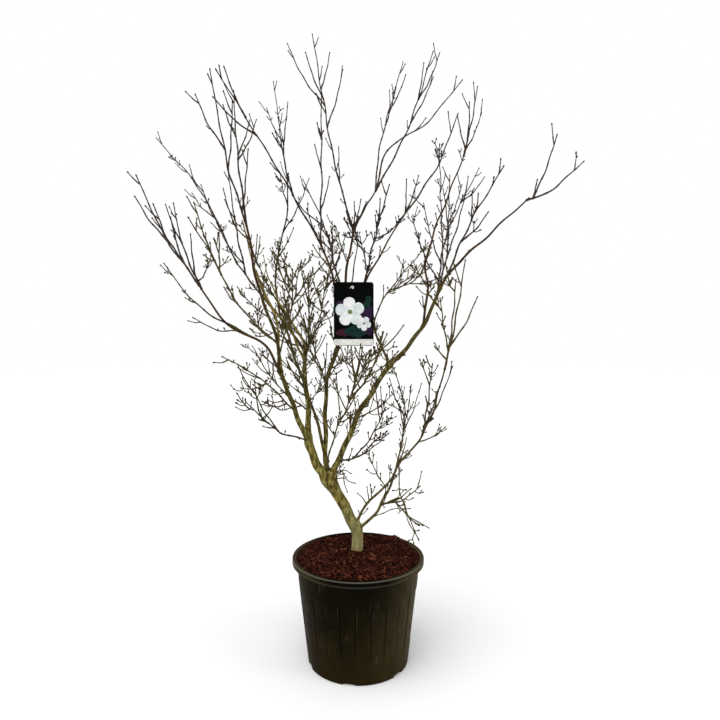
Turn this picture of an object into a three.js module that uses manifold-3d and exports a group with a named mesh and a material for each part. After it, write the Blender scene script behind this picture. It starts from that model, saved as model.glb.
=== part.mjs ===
// A young kousa dogwood in winter: a bare tree of several slim stems in a round nursery pot,
// with a picture card tied to one bough. Millimetres, +Z up. The origin is the middle of the
// pot's flat underside, +X is to the onlooker's right and +Y is away from the onlooker.

import * as THREE from 'three';
import { mergeVertices } from 'three/addons/utils/BufferGeometryUtils.js';
import Module from 'manifold-3d';

const wasm = await Module();
wasm.setup();

// Pot
const potHeight = 390;
const rimRadius = 250;
const rimBand = 22;
const rimRound = 5;
const mouthRadius = 233;
const collarRadius = 227;
const collarFoot = 312;
const footRadius = 189;
const footRound = 3;
const wallThick = 4;
const potSides = 36;
const potTurn = THREE.MathUtils.degToRad(-100);

// Panels sunk in the pot's wall, and the notches in its foot
const panelCount = 12;
const panelWidth = 60;
const panelFoot = 80;
const panelTop = 284;
const panelDepth = 2.2;
const notchCount = 6;
const notchWidth = 40;
const notchHeight = 13;
const notchDepth = 24;

// Soil: its height at the middle and at the wall, and how it heaps up from the wall inwards
const soilMiddle = 394;
const soilEdge = 384;
const soilHeap = [[0.84, 4], [0.62, 5], [0.42, 8]];
const soilClear = 1;
const soilFlat = 74;
const soilRoll = 4;
const soilSides = 24;

// Wood: how thick the limbs are, how they swell at their feet, and their straight stretches
const trunkThick = 43;
const trunkForkThick = 38;
const trunkStretch = 28;
const rootFlare = 0.16;
const rootFlareReach = 26;
const forkSwelling = 0.3;
const forkReach = 60;
const stoutThick = 16;
const boughCollar = 0.28;
const boughStretch = 65;
const stemThick = 6.4;
const shootThick = 4.8;
const tipThick = 3.2;
const stemStretch = 120;

// Stems and shoots: how far from its foot a stem may leave and still run on from a tip, how much
// of its carrier's heading it keeps then, how much lower than its tip's heading a side shoot sets
// off, and how far below the nearest place to its tip a shoot leaves, in distances off the stem
const runOnShare = 0.9;
const runOnBow = 0.5;
const shootSag = 0.15;
const shootRun = 2.3;

// Twigs: how far apart their pairs stand on a stem, how long they are and how they lean
const pairSpacing = 145;
const bareShare = 0.25;
const twigLength = 115;
const twigThick = 4;
const twigLean = 0.42;
const twigLeanSpread = 0.3;
const twigLift = 0.28;
const twigClear = 4;

// Picture card and its tie
const cardWidth = 150;
const cardHeight = 240;
const cardThick = 1.2;
const cardCorner = 8;
const cardMiddle = [-17, 1310, -40];
const cardClear = 14;
const tieThick = 2.4;

// The eye that the limbs' places are given for: level, this high and this far from the pot
const eyeHeight = 1312;
const eyeDistance = 2400;

// Air between neighbouring pieces, and the shortest edge kept after a cut
const gap = 0.3;
const shortEdge = 0.05;

const materials = {
  pot: new THREE.MeshStandardMaterial({ color: 0x201f19, roughness: 0.5, metalness: 0 }),
  soil: new THREE.MeshStandardMaterial({ color: 0x3b1a12, roughness: 0.95, metalness: 0 }),
  bark: new THREE.MeshStandardMaterial({ color: 0x7d7440, roughness: 0.8, metalness: 0 }),
  bough: new THREE.MeshStandardMaterial({ color: 0x5a4a30, roughness: 0.8, metalness: 0 }),
  twig: new THREE.MeshStandardMaterial({ color: 0x3a2c28, roughness: 0.75, metalness: 0 }),
  card: new THREE.MeshStandardMaterial({ color: 0x14161c, roughness: 0.4, metalness: 0 }),
};

// Trunk's way from the soil to its fork, each place as [right, up, back]
const trunkBends = [[-5, 375, 42], [-4, 440, 41], [-9, 492, 38], [-36, 542, 33], [-66, 599, 26],
  [-96, 656, 18], [-122, 705, 10]];

// Each bough: the limb it leaves, how far along that, its thickness at foot and tip, its bends
const boughs = {
  left_stem: ['trunk', 0.88, 36, 27, [-160, 740, 0], [-195, 845, -10]],
  left_bough: ['left_stem', 0.8, 21, 15, [-235, 925, -30], [-305, 1110, -60]],
  left_leader: ['left_bough', 0.97, 13, 7, [-310, 1210, -75], [-385, 1430, -120], [-440, 1745, -180]],
  low_left_bough: ['left_bough', 0.93, 10, 6, [-370, 1205, -120], [-495, 1265, -180], [-615, 1430, -250]],
  inner_left_bough: ['left_stem', 0.95, 23, 15, [-190, 945, 15], [-205, 1075, 40], [-200, 1170, 60]],
  upper_left_bough: ['inner_left_bough', 0.97, 11, 6, [-260, 1250, 110], [-365, 1375, 180],
    [-470, 1510, 260]],
  back_bough: ['trunk', 0.95, 13, 7, [-145, 855, 55], [-180, 965, 100], [-310, 1365, 280], [-305, 1555, 340]],
  middle_bough: ['trunk', 0.97, 19, 14, [-125, 790, 5], [-120, 1045, 15], [-75, 1185, 20]],
  centre_bough: ['middle_bough', 0.97, 12, 8, [-60, 1295, 25], [-50, 1440, 30], [-15, 1640, 50]],
  upper_bough: ['centre_bough', 0.97, 8, 6, [20, 1705, 95], [70, 1785, 150]],
  centre_left_bough: ['middle_bough', 0.95, 11, 7, [-75, 1325, 0], [-105, 1480, -30], [-150, 1595, -60]],
  inner_right_bough: ['middle_bough', 0.88, 10, 5, [-20, 1330, -15], [70, 1510, 0], [165, 1675, 0]],
  right_bough: ['trunk', 0.93, 23, 17, [-45, 815, -20], [0, 925, -40], [125, 1125, -80]],
  right_outer_bough: ['right_bough', 0.97, 17, 11, [190, 1185, -90], [265, 1295, -110], [315, 1415, -125]],
  right_leader: ['right_outer_bough', 0.55, 9, 5, [265, 1400, -70], [270, 1560, -30], [410, 1930, 80]],
  far_right_bough: ['right_outer_bough', 0.97, 10, 5, [360, 1480, -140], [475, 1590, -190],
    [655, 1755, -240]],
  slim_inner_stem: ['trunk', 0.34, 11, 7, [35, 590, 60], [100, 645, 95], [145, 725, 135], [170, 835, 190]],
  slim_outer_stem: ['trunk', 0.3, 12, 8, [50, 530, 0], [100, 605, -65], [160, 750, -120]],
  low_right_bough: ['slim_outer_stem', 0.97, 8, 5, [215, 805, -160], [275, 905, -220], [335, 1110, -300]],
};

// Each spray of twigs: the limb its stem leaves, how far along that, the stem's own bends,
// and the tips that its stem and side shoots reach, the stem's first
const sprays = {
  low_left_sweep: ['low_left_bough', 0.4, [[-615, 1345, -70]], [[-740, 1500, -20], [-630, 1295, 30]]],
  far_left_spray: ['low_left_bough', 0.97, [[-745, 1620, -320]],
    [[-845, 1835, -380], [-850, 1755, -310], [-780, 1725, -430], [-715, 1675, -370]]],
  left_upright_spray: ['low_left_bough', 0.94, [[-670, 1570, -150]],
    [[-705, 1730, -110], [-735, 1725, -60], [-640, 1610, -190], [-570, 1505, -50]]],
  left_mid_spray: ['left_leader', 0.15, [[-450, 1335, -250], [-550, 1520, -400]],
    [[-645, 1675, -520], [-625, 1730, -440], [-530, 1615, -480], [-510, 1410, -380]]],
  upper_left_sweep: ['upper_left_bough', 0.97, [[-600, 1775, 330]],
    [[-770, 1980, 390], [-600, 1800, 250], [-635, 1770, 420], [-645, 1875, 330]]],
  upper_left_spray: ['upper_left_bough', 0.85, [], [[-500, 1880, 110], [-515, 1785, 60], [-540, 1655, 60]]],
  left_top_spray: ['left_leader', 0.85, [[-500, 1890, -220]],
    [[-565, 2240, -300], [-620, 2145, -240], [-480, 2115, -330], [-420, 1935, -290]]],
  left_top_inner: ['left_leader', 0.97, [],
    [[-475, 2160, -40], [-515, 2105, -120], [-390, 2050, 0], [-415, 2045, -130]]],
  rear_left_spray: ['back_bough', 0.97, [[-270, 1775, 380]],
    [[-325, 2195, 470], [-350, 2095, 530], [-190, 1825, 460], [-270, 2115, 400], [-300, 1850, 470]]],
  inner_left_cluster: ['left_leader', 0.08, [[-250, 1340, -190]],
    [[-225, 1485, -300], [-250, 1475, -230], [-190, 1460, -250]]],
  top_spray: ['centre_bough', 0.97, [[-95, 1910, 90]],
    [[-175, 2375, 130], [-270, 2340, 200], [-60, 2240, 120], [-200, 2305, 60], [-110, 2305, 170],
      [-75, 1945, 160]]],
  upper_right_spray: ['upper_bough', 0.97, [[190, 2020, 200]],
    [[285, 2310, 230], [310, 2305, 310], [250, 2265, 170], [285, 2210, 150]]],
  upper_spray: ['upper_bough', 0.95, [[85, 1960, 240]],
    [[170, 2270, 330], [140, 2175, 430], [180, 2220, 250]]],
  upper_far_spray: ['upper_bough', 0.97, [[115, 1940, 130], [255, 2035, 60]],
    [[395, 2200, 0]]],
  crown_left_spray: ['centre_left_bough', 0.95, [[-305, 1860, -200]],
    [[-540, 2240, -400], [-550, 2135, -320], [-510, 2250, -340], [-300, 2010, -330]]],
  vertical_shoot: ['centre_left_bough', 0.97, [[-140, 1800, -150]],
    [[-140, 2145, -260], [-110, 1830, -210], [-155, 2035, -210]]],
  crossing_shoot: ['centre_bough', 0.42, [[-130, 1645, 110]],
    [[-210, 1820, 150], [-250, 1760, 120], [-100, 1660, 180]]],
  centre_fan: ['centre_bough', 0.95, [],
    [[-15, 1735, -30], [-45, 1700, -60], [30, 1735, -30], [10, 1745, -100]]],
  card_twig: ['centre_bough', 0.2, [], [[0, 1590, -20]]],
  inner_right_spray: ['inner_right_bough', 0.97, [[300, 1870, -110]],
    [[380, 2070, -200], [185, 1820, -90], [230, 1835, 0]]],
  thin_upright_spray: ['inner_right_bough', 0.5, [[70, 1625, -240]],
    [[120, 1800, -440], [85, 1745, -330], [25, 1560, -300]]],
  right_top_spray: ['right_leader', 0.97, [],
    [[425, 2115, 80], [455, 2175, 120], [380, 2065, 60], [470, 2075, 170]]],
  right_fan_inner: ['right_outer_bough', 0.98, [[345, 1600, 40]],
    [[325, 1785, 190], [395, 1800, 150], [310, 1930, 260], [350, 1835, 60], [415, 1795, 60]]],
  right_fan_middle: ['right_outer_bough', 0.9, [[340, 1620, 180]],
    [[460, 1865, 400], [250, 1730, 300], [480, 1830, 310], [205, 1680, 210]]],
  right_fan_outer: ['far_right_bough', 0.12, [[425, 1650, -300]],
    [[555, 1870, -440], [495, 1695, -300], [460, 1765, -380]]],
  far_right_spray: ['far_right_bough', 0.97, [[735, 1780, -235]],
    [[860, 1890, -220], [760, 1990, -280], [685, 1820, -310]]],
  low_right_inner_spray: ['slim_inner_stem', 0.97, [[175, 960, 260]],
    [[125, 1135, 370], [200, 1025, 400], [240, 1040, 300], [120, 1060, 260]]],
  right_low_spray: ['low_right_bough', 0.97, [],
    [[410, 1510, -410], [455, 1370, -340], [315, 1365, -420], [375, 1435, -500], [295, 1195, -360]]],
  low_right_cluster: ['low_right_bough', 0.35, [],
    [[285, 1115, -420], [360, 1105, -180], [305, 1015, -290], [260, 990, -330]]],
  low_right_twig: ['slim_outer_stem', 0.45, [[165, 605, -150], [190, 540, -170]],
    [[230, 450, -200], [235, 650, -220], [200, 640, -110], [265, 495, -130]]],
  low_left_spray: ['left_stem', 0.9, [],
    [[-425, 970, -290], [-360, 880, -220], [-400, 1020, -220], [-380, 940, -320]]],
  left_flat_spray: ['left_bough', 0.45, [[-375, 1065, -230]],
    [[-515, 1145, -370], [-405, 1060, -330], [-365, 975, -260]]],
  left_inner_twig: ['inner_left_bough', 0.3, [], [[-405, 1185, 400], [-365, 975, 300], [-350, 1165, 330]]],
  inner_spray: ['trunk', 0.98, [[-95, 830, -90]],
    [[50, 1165, -330], [-25, 1180, -330], [10, 1190, -260], [110, 1230, -400]]],
  right_inner_spray: ['right_bough', 0.15, [], [[85, 845, -280], [105, 950, -250], [55, 800, -180]]],
  crossing_spray: ['right_bough', 0.97, [[70, 1315, 60]],
    [[265, 1580, 300], [55, 1325, 170], [265, 1480, 190], [170, 1440, 250]]],
  inner_left_fan: ['inner_left_bough', 0.97, [],
    [[-75, 1315, 270], [-190, 1460, 230], [-315, 1240, 200], [-435, 1630, 330]]],
};

// The place that shows this far right of the pot's middle and this high, `back` behind it
function seen([right, up, back]) {
  const spread = 1 + back / eyeDistance;
  return new THREE.Vector3(right * spread, back, eyeHeight + (up - eyeHeight) * spread);
}

// A fair run of numbers from 0 to 1 that is the same each time for one seed
function numbersFrom(seed) {
  let state = seed;
  return () => {
    state = (Math.imul(state, 1664525) + 1013904223) >>> 0;
    return state / 4294967296;
  };
}

// A closed geometry as a solid that can be joined and cut
function toSolid(geometry) {
  geometry.deleteAttribute('normal');
  geometry.deleteAttribute('uv');
  const merged = mergeVertices(geometry, 1e-4);
  return new wasm.Manifold(new wasm.Mesh({
    numProp: 3,
    vertProperties: merged.attributes.position.array,
    triVerts: new Uint32Array(merged.index.array),
  }));
}

// The largest body of a solid, without the scraps that a cut leaves
function largestBody(solid) {
  const bodies = solid.decompose();
  return bodies.reduce((best, body) => (body.volume() > best.volume() ? body : best));
}

// A named mesh from a solid, its shortest edges drawn together first
function toMesh(name, solid, material) {
  const clean = largestBody(solid.simplify(shortEdge));
  const { vertProperties, triVerts } = clean.getMesh();
  const geometry = new THREE.BufferGeometry();
  geometry.setAttribute('position', new THREE.BufferAttribute(vertProperties, 3));
  geometry.setIndex(new THREE.BufferAttribute(triVerts, 1));
  geometry.computeVertexNormals();
  const mesh = new THREE.Mesh(geometry, material);
  mesh.name = name;
  return mesh;
}

// A round limb: a closed cylinder whose rings are carried along a curve, each with the radius
// that radiusAt gives for its share of the way. It starts and ends `extra` past the curve's
// ends, and a pointed limb closes to its tip.
function limbSolid(curve, radiusAt, sides, steps, extra, pointed) {
  const shape = new THREE.CylinderGeometry(pointed ? 0 : 1, 1, 1, sides, steps);
  const frames = curve.computeFrenetFrames(steps);
  const places = shape.attributes.position;
  const spot = new THREE.Vector3();
  for (let i = 0; i < places.count; i += 1) {
    spot.fromBufferAttribute(places, i);
    const step = Math.round((spot.y + 0.5) * steps);
    const around = Math.atan2(spot.x, spot.z);
    const radius = Math.hypot(spot.x, spot.z) < 1e-6 ? 0 : radiusAt(step / steps);
    const middle = curve.getPointAt(step / steps);
    const past = step === steps ? extra : 0;
    middle.addScaledVector(frames.tangents[step], step === 0 ? -extra : past);
    middle.addScaledVector(frames.binormals[step], radius * Math.sin(around));
    middle.addScaledVector(frames.normals[step], radius * Math.cos(around));
    places.setXYZ(i, middle.x, middle.y, middle.z);
  }
  return toSolid(shape);
}

// The shortest distance between the stretches a-b and c-d
function stretchDistance(a, b, c, d) {
  const first = b.clone().sub(a);
  const second = d.clone().sub(c);
  const between = a.clone().sub(c);
  const aa = first.dot(first);
  const bb = second.dot(second);
  const ab = first.dot(second);
  const ac = first.dot(between);
  const bc = second.dot(between);
  const spread = aa * bb - ab * ab;
  let s = spread > 1e-9 ? THREE.MathUtils.clamp((ab * bc - ac * bb) / spread, 0, 1) : 0;
  const t = THREE.MathUtils.clamp((ab * s + bc) / bb, 0, 1);
  s = THREE.MathUtils.clamp((ab * t - ac) / aa, 0, 1);
  return between.addScaledVector(first, s).addScaledVector(second, -t).length();
}

// A limb in the tree: a curve in straight stretches, its taper, and the collar at its foot
class Limb {
  constructor(owner, points, thick, thin, stretch, collar = 0) {
    this.owner = owner;
    this.curve = new THREE.CatmullRomCurve3(points, false, 'catmullrom', 0.5);
    this.length = this.curve.getLength();
    this.thick = thick;
    this.thin = thin;
    this.collar = collar;
    this.steps = Math.max(2, Math.round(this.length / stretch));
    this.spine = this.curve.getSpacedPoints(this.steps);
    this.stretches = this.spine.slice(1).map((to, i) => (
      { limb: this, from: this.spine[i], to, radius: this.radius(i / this.steps) }));
  }

  // The place at a share of the way, on the stretch that it falls in
  place(share) {
    const step = Math.min(this.steps - 1, Math.floor(share * this.steps));
    return this.spine[step].clone().lerp(this.spine[step + 1], share * this.steps - step);
  }

  // Half the thickness at a share of the way, with the collar that it swells to at its foot
  radius(share) {
    const taper = this.thick + (this.thin - this.thick) * share;
    const foot = Math.max(0, 1 - (share * this.length) / (1.6 * this.thick));
    return 0.5 * taper * (1 + this.collar * foot);
  }

  // The limb's solid, or one that stands `extra` proud of it all over
  solid(sides, extra = 0, pointed = false) {
    return limbSolid(this.curve, (share) => this.radius(share) + extra, sides, this.steps, extra, pointed);
  }
}

// The trunk's radius: a steady taper, the root flare at the soil and the swelling of the fork
class Trunk extends Limb {
  radius(share) {
    const taper = this.thick + (this.thin - this.thick) * share;
    const flare = rootFlare * Math.exp((-share * this.length) / rootFlareReach);
    const fork = forkSwelling * Math.exp(((share - 1) * this.length) / forkReach);
    return 0.5 * taper * (1 + flare + fork);
  }
}

// The way from a foot to a tip. One that runs on from a carrier's end sets off between the
// carrier's heading and the tip's; one from its side sets off a little lower and curves up
function bowedPoints(carrier, share, bends, tip) {
  const foot = carrier.place(share);
  if (bends.length > 0) return [foot, ...bends, tip];
  const straight = tip.clone().sub(foot);
  const reach = straight.length();
  const heading = carrier.curve.getTangentAt(share).multiplyScalar(share > runOnShare ? runOnBow : 0);
  heading.z -= share > runOnShare ? 0 : shootSag;
  heading.addScaledVector(straight, 1 / reach).normalize();
  return [foot, foot.clone().addScaledVector(heading, 0.5 * reach), tip];
}

// Where a side shoot leaves its stem: well below the stem's nearest place to the shoot's tip
function shootShare(stem, tip) {
  const shares = Array.from({ length: 41 }, (_, i) => i / 40);
  const distance = (share) => stem.place(share).distanceTo(tip);
  const nearest = shares.reduce((best, share) => (distance(share) < distance(best) ? share : best));
  return THREE.MathUtils.clamp(nearest - (shootRun * distance(nearest)) / stem.length, 0.1, 0.88);
}

const trunk = new Trunk('trunk', trunkBends.map(seen), trunkThick, trunkForkThick, trunkStretch);
const limbs = new Map([['trunk', trunk]]);
for (const [name, [parent, share, thick, thin, ...bends]] of Object.entries(boughs)) {
  const foot = limbs.get(parent).place(share);
  limbs.set(name, new Limb(name, [foot, ...bends.map(seen)], thick, thin, boughStretch, boughCollar));
}

// Each spray's stem and shoots, which all stand before the first twig grows
const crowns = new Map();
for (const [name, [parent, share, bends, tips]] of Object.entries(sprays)) {
  const [tip, ...others] = tips.map(seen);
  const way = bowedPoints(limbs.get(parent), share, bends.map(seen), tip);
  const stem = new Limb(name, way, stemThick, tipThick, stemStretch);
  const shoots = others.map((end) => new Limb(name,
    bowedPoints(stem, shootShare(stem, end), [], end), shootThick, tipThick, stemStretch));
  crowns.set(name, [stem, ...shoots]);
}

const wood = [...limbs.values(), ...[...crowns.values()].flat()];
const stretches = wood.flatMap((limb) => limb.stretches);
const cardMiddlePlace = seen(cardMiddle);

// Whether a place lies in the air kept free round the picture card
function nearCard(place) {
  return Math.abs(place.x - cardMiddlePlace.x) < cardWidth / 2 + cardClear
    && Math.abs(place.y - cardMiddlePlace.y) < cardClear
    && Math.abs(place.z - cardMiddlePlace.z) < cardHeight / 2 + cardClear;
}

// Whether a twig stays in its spray's own space: nearer to its own stems than to any other
// spray's, and clear of every limb and twig but the one that carries it
function fits(carrier, places, radius) {
  const tip = places[places.length - 1];
  if (places.some(nearCard) || tip.z < potHeight) return false;
  let own = Infinity;
  let other = Infinity;
  for (const { limb, from, to, radius: thick } of stretches) {
    const reach = stretchDistance(tip, places[1], from, to);
    if (limb.owner === carrier.owner) own = Math.min(own, reach);
    else if (crowns.has(limb.owner)) other = Math.min(other, reach);
    if (limb === carrier) continue;
    for (let i = 1; i < places.length; i += 1) {
      if (stretchDistance(places[i - 1], places[i], from, to) < radius + thick + twigClear) return false;
    }
  }
  return own < other;
}

// Opposite pairs of twigs along a stem, each pair a quarter turn on from the one below it
function growTwigs(carrier, random) {
  const twigs = [];
  const count = Math.floor((carrier.length * (1 - bareShare)) / pairSpacing);
  let turn = Math.PI * random();
  for (let pair = 1; pair <= count; pair += 1) {
    const share = bareShare + ((0.96 - bareShare) * (pair - 0.3 * random())) / count;
    const foot = carrier.place(share);
    const ahead = carrier.curve.getTangentAt(share);
    const across = new THREE.Vector3(0, 1, 0).cross(ahead).normalize();
    const behind = ahead.clone().cross(across);
    turn += Math.PI / 2;
    for (const side of [turn, turn + Math.PI]) {
      const length = twigLength * (0.35 + 0.65 * random()) * (1.15 - 0.55 * share);
      const lean = twigLean + twigLeanSpread * random();
      const heading = ahead.clone().multiplyScalar(Math.cos(lean));
      heading.addScaledVector(across, Math.sin(lean) * Math.cos(side));
      heading.addScaledVector(behind, Math.sin(lean) * Math.sin(side));
      const elbow = foot.clone().addScaledVector(heading, 0.45 * length);
      heading.z += twigLift;
      const tip = elbow.clone().addScaledVector(heading.normalize(), 0.55 * length);
      if (!fits(carrier, [foot, elbow, tip], twigThick / 2)) continue;
      const twig = new Limb(carrier.owner, [foot, elbow, tip], twigThick, 0, twigLength);
      stretches.push(...twig.stretches);
      twigs.push(twig);
    }
  }
  return twigs;
}

// The trunk, cut flat where it meets the soil
function trunkSolid(extra = 0) {
  const cut = new THREE.BoxGeometry(400, 400, 200);
  cut.translate(0, 0, soilMiddle - extra - 100);
  return trunk.solid(12, extra).subtract(toSolid(cut));
}

// A panel's cutter stands in the sloping wall, and a notch's in the corner of the foot
function cutterRing(count, width, depth, height, radius, middle, slope) {
  const box = new THREE.BoxGeometry(depth, width, height);
  box.rotateY(slope);
  box.translate(radius, 0, middle);
  const cutters = [];
  for (let i = 0; i < count; i += 1) {
    const copy = box.clone();
    copy.rotateZ(potTurn + (i * 2 * Math.PI) / count);
    cutters.push(toSolid(copy));
  }
  return wasm.Manifold.union(cutters);
}

function notches(extra = 0) {
  const depth = 2 * (notchDepth + extra);
  return cutterRing(notchCount, notchWidth + 2 * extra, depth, 2 * (notchHeight + extra),
    footRadius + 4, 0, 0);
}

// Turns an outline of radii and heights round the pot's axis
function turn(outline, sides) {
  const turned = new THREE.LatheGeometry(outline.map(([x, y]) => new THREE.Vector2(x, y)), sides);
  return turned.rotateX(Math.PI / 2);
}

// The panels' cutters: boxes through the sloping wall that leave what lies deeper than a panel
function panels() {
  const rise = panelTop - panelFoot;
  const middle = (panelFoot + panelTop) / 2;
  const slope = Math.atan2(collarRadius - footRadius, collarFoot);
  const wallHere = footRadius + middle * Math.tan(slope);
  const core = [
    [0, 0], [footRadius - panelDepth, 0], [collarRadius - panelDepth, collarFoot], [0, collarFoot],
  ];
  return cutterRing(panelCount, panelWidth, panelWidth / 2, rise, wallHere, middle, slope)
    .subtract(toSolid(turn(core, potSides)));
}

// The pot: one wall turned round its axis, with its rolled rim, collar and floor
function potSolid() {
  const rimFoot = potHeight - rimBand;
  const outline = [
    [0, 0], [footRadius - footRound, 0], [footRadius, footRound], [collarRadius, collarFoot],
    [collarRadius + 3, rimFoot], [rimRadius - 3, rimFoot + 2],
    [rimRadius, potHeight - 2 * rimRound], [rimRadius - rimRound, potHeight],
    [mouthRadius + rimRound, potHeight], [mouthRadius, potHeight - rimRound],
    [collarRadius - wallThick, rimFoot], [collarRadius - wallThick, collarFoot],
    [footRadius - wallThick, wallThick], [0, wallThick],
  ];
  return toSolid(turn(outline, potSides)).subtract(panels()).subtract(notches());
}

// The soil fills the pot to its mouth, just under the rim, a little heaped and uneven
function soilSolid() {
  const floor = wallThick + gap;
  const inside = (radius) => radius - wallThick - soilClear;
  const outline = [
    [0, floor], [inside(footRadius), floor], [inside(collarRadius), collarFoot + 2 * soilClear],
    [inside(collarRadius), potHeight - rimBand + soilClear], [mouthRadius - 3 * soilClear, soilEdge],
    ...soilHeap.map(([share, rise]) => [share * collarRadius, soilEdge + rise]),
    [soilFlat, soilMiddle - gap], [0, soilMiddle - gap],
  ];
  const turned = turn(outline, soilSides);
  const places = turned.attributes.position;
  for (let i = 0; i < places.count; i += 1) {
    const [x, y, z] = [places.getX(i), places.getY(i), places.getZ(i)];
    const loose = z > soilEdge + 1 && Math.hypot(x, y) > soilFlat + 1;
    const roll = Math.sin(x / 22 + 1.3) * Math.cos(y / 20) + 0.6 * Math.sin((x - y) / 12);
    if (loose) places.setZ(i, z + soilRoll * roll);
  }
  return toSolid(turned).subtract(notches(gap));
}

// The card hangs face on, and its tie is a closed loop through the card round the centre bough
function cardSolid() {
  const [w, h, r] = [cardWidth / 2, cardHeight / 2, cardCorner];
  const outline = new THREE.Shape();
  outline.moveTo(r - w, -h);
  outline.lineTo(w - r, -h);
  outline.absarc(w - r, r - h, r, -Math.PI / 2, 0, false);
  outline.absarc(w - r, h - r, r, 0, Math.PI / 2, false);
  outline.absarc(r - w, h - r, r, Math.PI / 2, Math.PI, false);
  outline.absarc(r - w, r - h, r, Math.PI, 1.5 * Math.PI, false);
  const thickness = { depth: cardThick, bevelEnabled: false, curveSegments: 3 };
  const card = new THREE.ExtrudeGeometry(outline, thickness);
  card.rotateX(Math.PI / 2);
  card.translate(cardMiddlePlace.x, cardMiddlePlace.y, cardMiddlePlace.z);
  const hole = new THREE.Vector3(cardMiddlePlace.x - 4, cardMiddlePlace.y, cardMiddlePlace.z + h - 26);
  const bough = limbs.get('centre_bough').place(0.42);
  const ring = 13;
  const loop = new THREE.CatmullRomCurve3([
    new THREE.Vector3(bough.x, bough.y + ring, bough.z + 8),
    new THREE.Vector3(bough.x - ring, bough.y, bough.z + 6),
    new THREE.Vector3(bough.x - ring * 0.4, bough.y - ring, bough.z),
    new THREE.Vector3(hole.x - 3, hole.y - 7, hole.z + 6),
    new THREE.Vector3(hole.x, hole.y - 2, hole.z - 3),
    new THREE.Vector3(hole.x + 3, hole.y + 8, hole.z + 6),
    new THREE.Vector3(bough.x + ring, bough.y - ring * 0.3, bough.z + 2),
  ], true);
  const tie = new THREE.TubeGeometry(loop, 20, tieThick / 2, 4, true);
  return toSolid(card).add(toSolid(tie));
}

const tree = new THREE.Group();
tree.name = 'potted_dogwood';
const builtFat = [];

// Cuts a solid clear of the pieces built before it that its box touches, then remembers it
function cutClear(solid, fat) {
  let clear = solid;
  const box = solid.boundingBox();
  for (const { box: other, solid: earlier } of builtFat) {
    const apart = [0, 1, 2].some((i) => box.min[i] > other.max[i] || other.min[i] > box.max[i]);
    if (!apart) clear = clear.subtract(earlier);
  }
  builtFat.push({ box: fat.boundingBox(), solid: fat });
  return largestBody(clear);
}

tree.add(toMesh('pot', potSolid(), materials.pot));
tree.add(toMesh('soil', soilSolid(), materials.soil));
tree.add(toMesh('trunk', cutClear(trunkSolid(), trunkSolid(gap)), materials.bark));
for (const name of Object.keys(boughs)) {
  const limb = limbs.get(name);
  const stout = limb.thick > stoutThick;
  const sides = stout ? 7 : 5;
  const solid = cutClear(limb.solid(sides), limb.solid(sides, gap));
  tree.add(toMesh(name, solid, stout ? materials.bark : materials.bough));
}
[...crowns.entries()].forEach(([name, stems], index) => {
  const random = numbersFrom(index + 1);
  const twigs = stems.flatMap((stem) => growTwigs(stem, random));
  const thickened = (extra) => wasm.Manifold.union([
    ...stems.map((stem) => stem.solid(3, extra)),
    ...twigs.map((twig) => twig.solid(3, extra, true)),
  ]);
  tree.add(toMesh(name, cutClear(thickened(0), thickened(gap)), materials.twig));
});
tree.add(toMesh('picture_card', cutClear(cardSolid(), cardSolid()), materials.card));

export default tree;
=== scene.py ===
"""Visual model of a young kousa dogwood in winter: a bare tree of slim stems in a nursery pot.

The tables and the growing rule are in millimetres, the meshes in metres. +Z is up, +X is to the
onlooker's right and +Y is away from the onlooker. The origin is the middle of the pot's underside.
"""

import logging
import math
from collections.abc import Iterable, Iterator, Sequence
from dataclasses import dataclass, field, fields, replace
from enum import Enum
from typing import Self

import bpy
import numpy as np
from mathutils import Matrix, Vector


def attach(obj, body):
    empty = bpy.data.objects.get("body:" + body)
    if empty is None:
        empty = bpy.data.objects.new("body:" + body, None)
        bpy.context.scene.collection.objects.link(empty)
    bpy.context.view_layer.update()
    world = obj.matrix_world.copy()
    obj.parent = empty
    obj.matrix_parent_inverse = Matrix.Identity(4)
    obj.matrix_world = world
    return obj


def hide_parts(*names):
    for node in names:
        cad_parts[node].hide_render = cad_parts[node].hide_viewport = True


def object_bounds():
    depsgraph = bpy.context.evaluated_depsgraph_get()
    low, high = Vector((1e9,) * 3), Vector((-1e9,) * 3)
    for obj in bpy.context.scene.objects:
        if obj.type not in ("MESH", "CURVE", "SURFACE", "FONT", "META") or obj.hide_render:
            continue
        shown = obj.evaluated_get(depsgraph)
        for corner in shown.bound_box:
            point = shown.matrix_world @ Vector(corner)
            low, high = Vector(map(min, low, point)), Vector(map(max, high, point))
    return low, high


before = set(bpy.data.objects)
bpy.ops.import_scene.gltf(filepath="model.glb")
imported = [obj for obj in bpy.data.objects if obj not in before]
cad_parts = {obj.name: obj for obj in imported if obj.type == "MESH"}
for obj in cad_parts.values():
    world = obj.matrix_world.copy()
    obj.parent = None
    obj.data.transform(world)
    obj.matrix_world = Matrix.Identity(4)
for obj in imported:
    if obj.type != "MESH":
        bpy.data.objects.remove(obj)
cad_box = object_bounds()

LOG = logging.getLogger("dogwood")
Array = np.ndarray
Place = tuple[float, float, float]
Colour = tuple[float, float, float]
Pair = tuple[float, float]
Material = bpy.types.Material
Socket = bpy.types.NodeSocket
Value = Socket | Colour | float

MM = 0.001

# The eye that the limbs' places are given for: level, this high and this far from the pot
EYE_HEIGHT = 1312.0
EYE_DISTANCE = 2400.0

# Wood, as in the part's source
TRUNK_THICK = 43.0
TRUNK_FORK_THICK = 38.0
TRUNK_STRETCH = 28.0
ROOT_FLARE = 0.16
ROOT_FLARE_REACH = 26.0
FORK_SWELLING = 0.3
FORK_REACH = 60.0
STOUT_THICK = 16.0
BOUGH_STRETCH = 65.0
STEM_THICK = 6.4
SHOOT_THICK = 4.8
TIP_THICK = 3.2
STEM_STRETCH = 120.0

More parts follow.
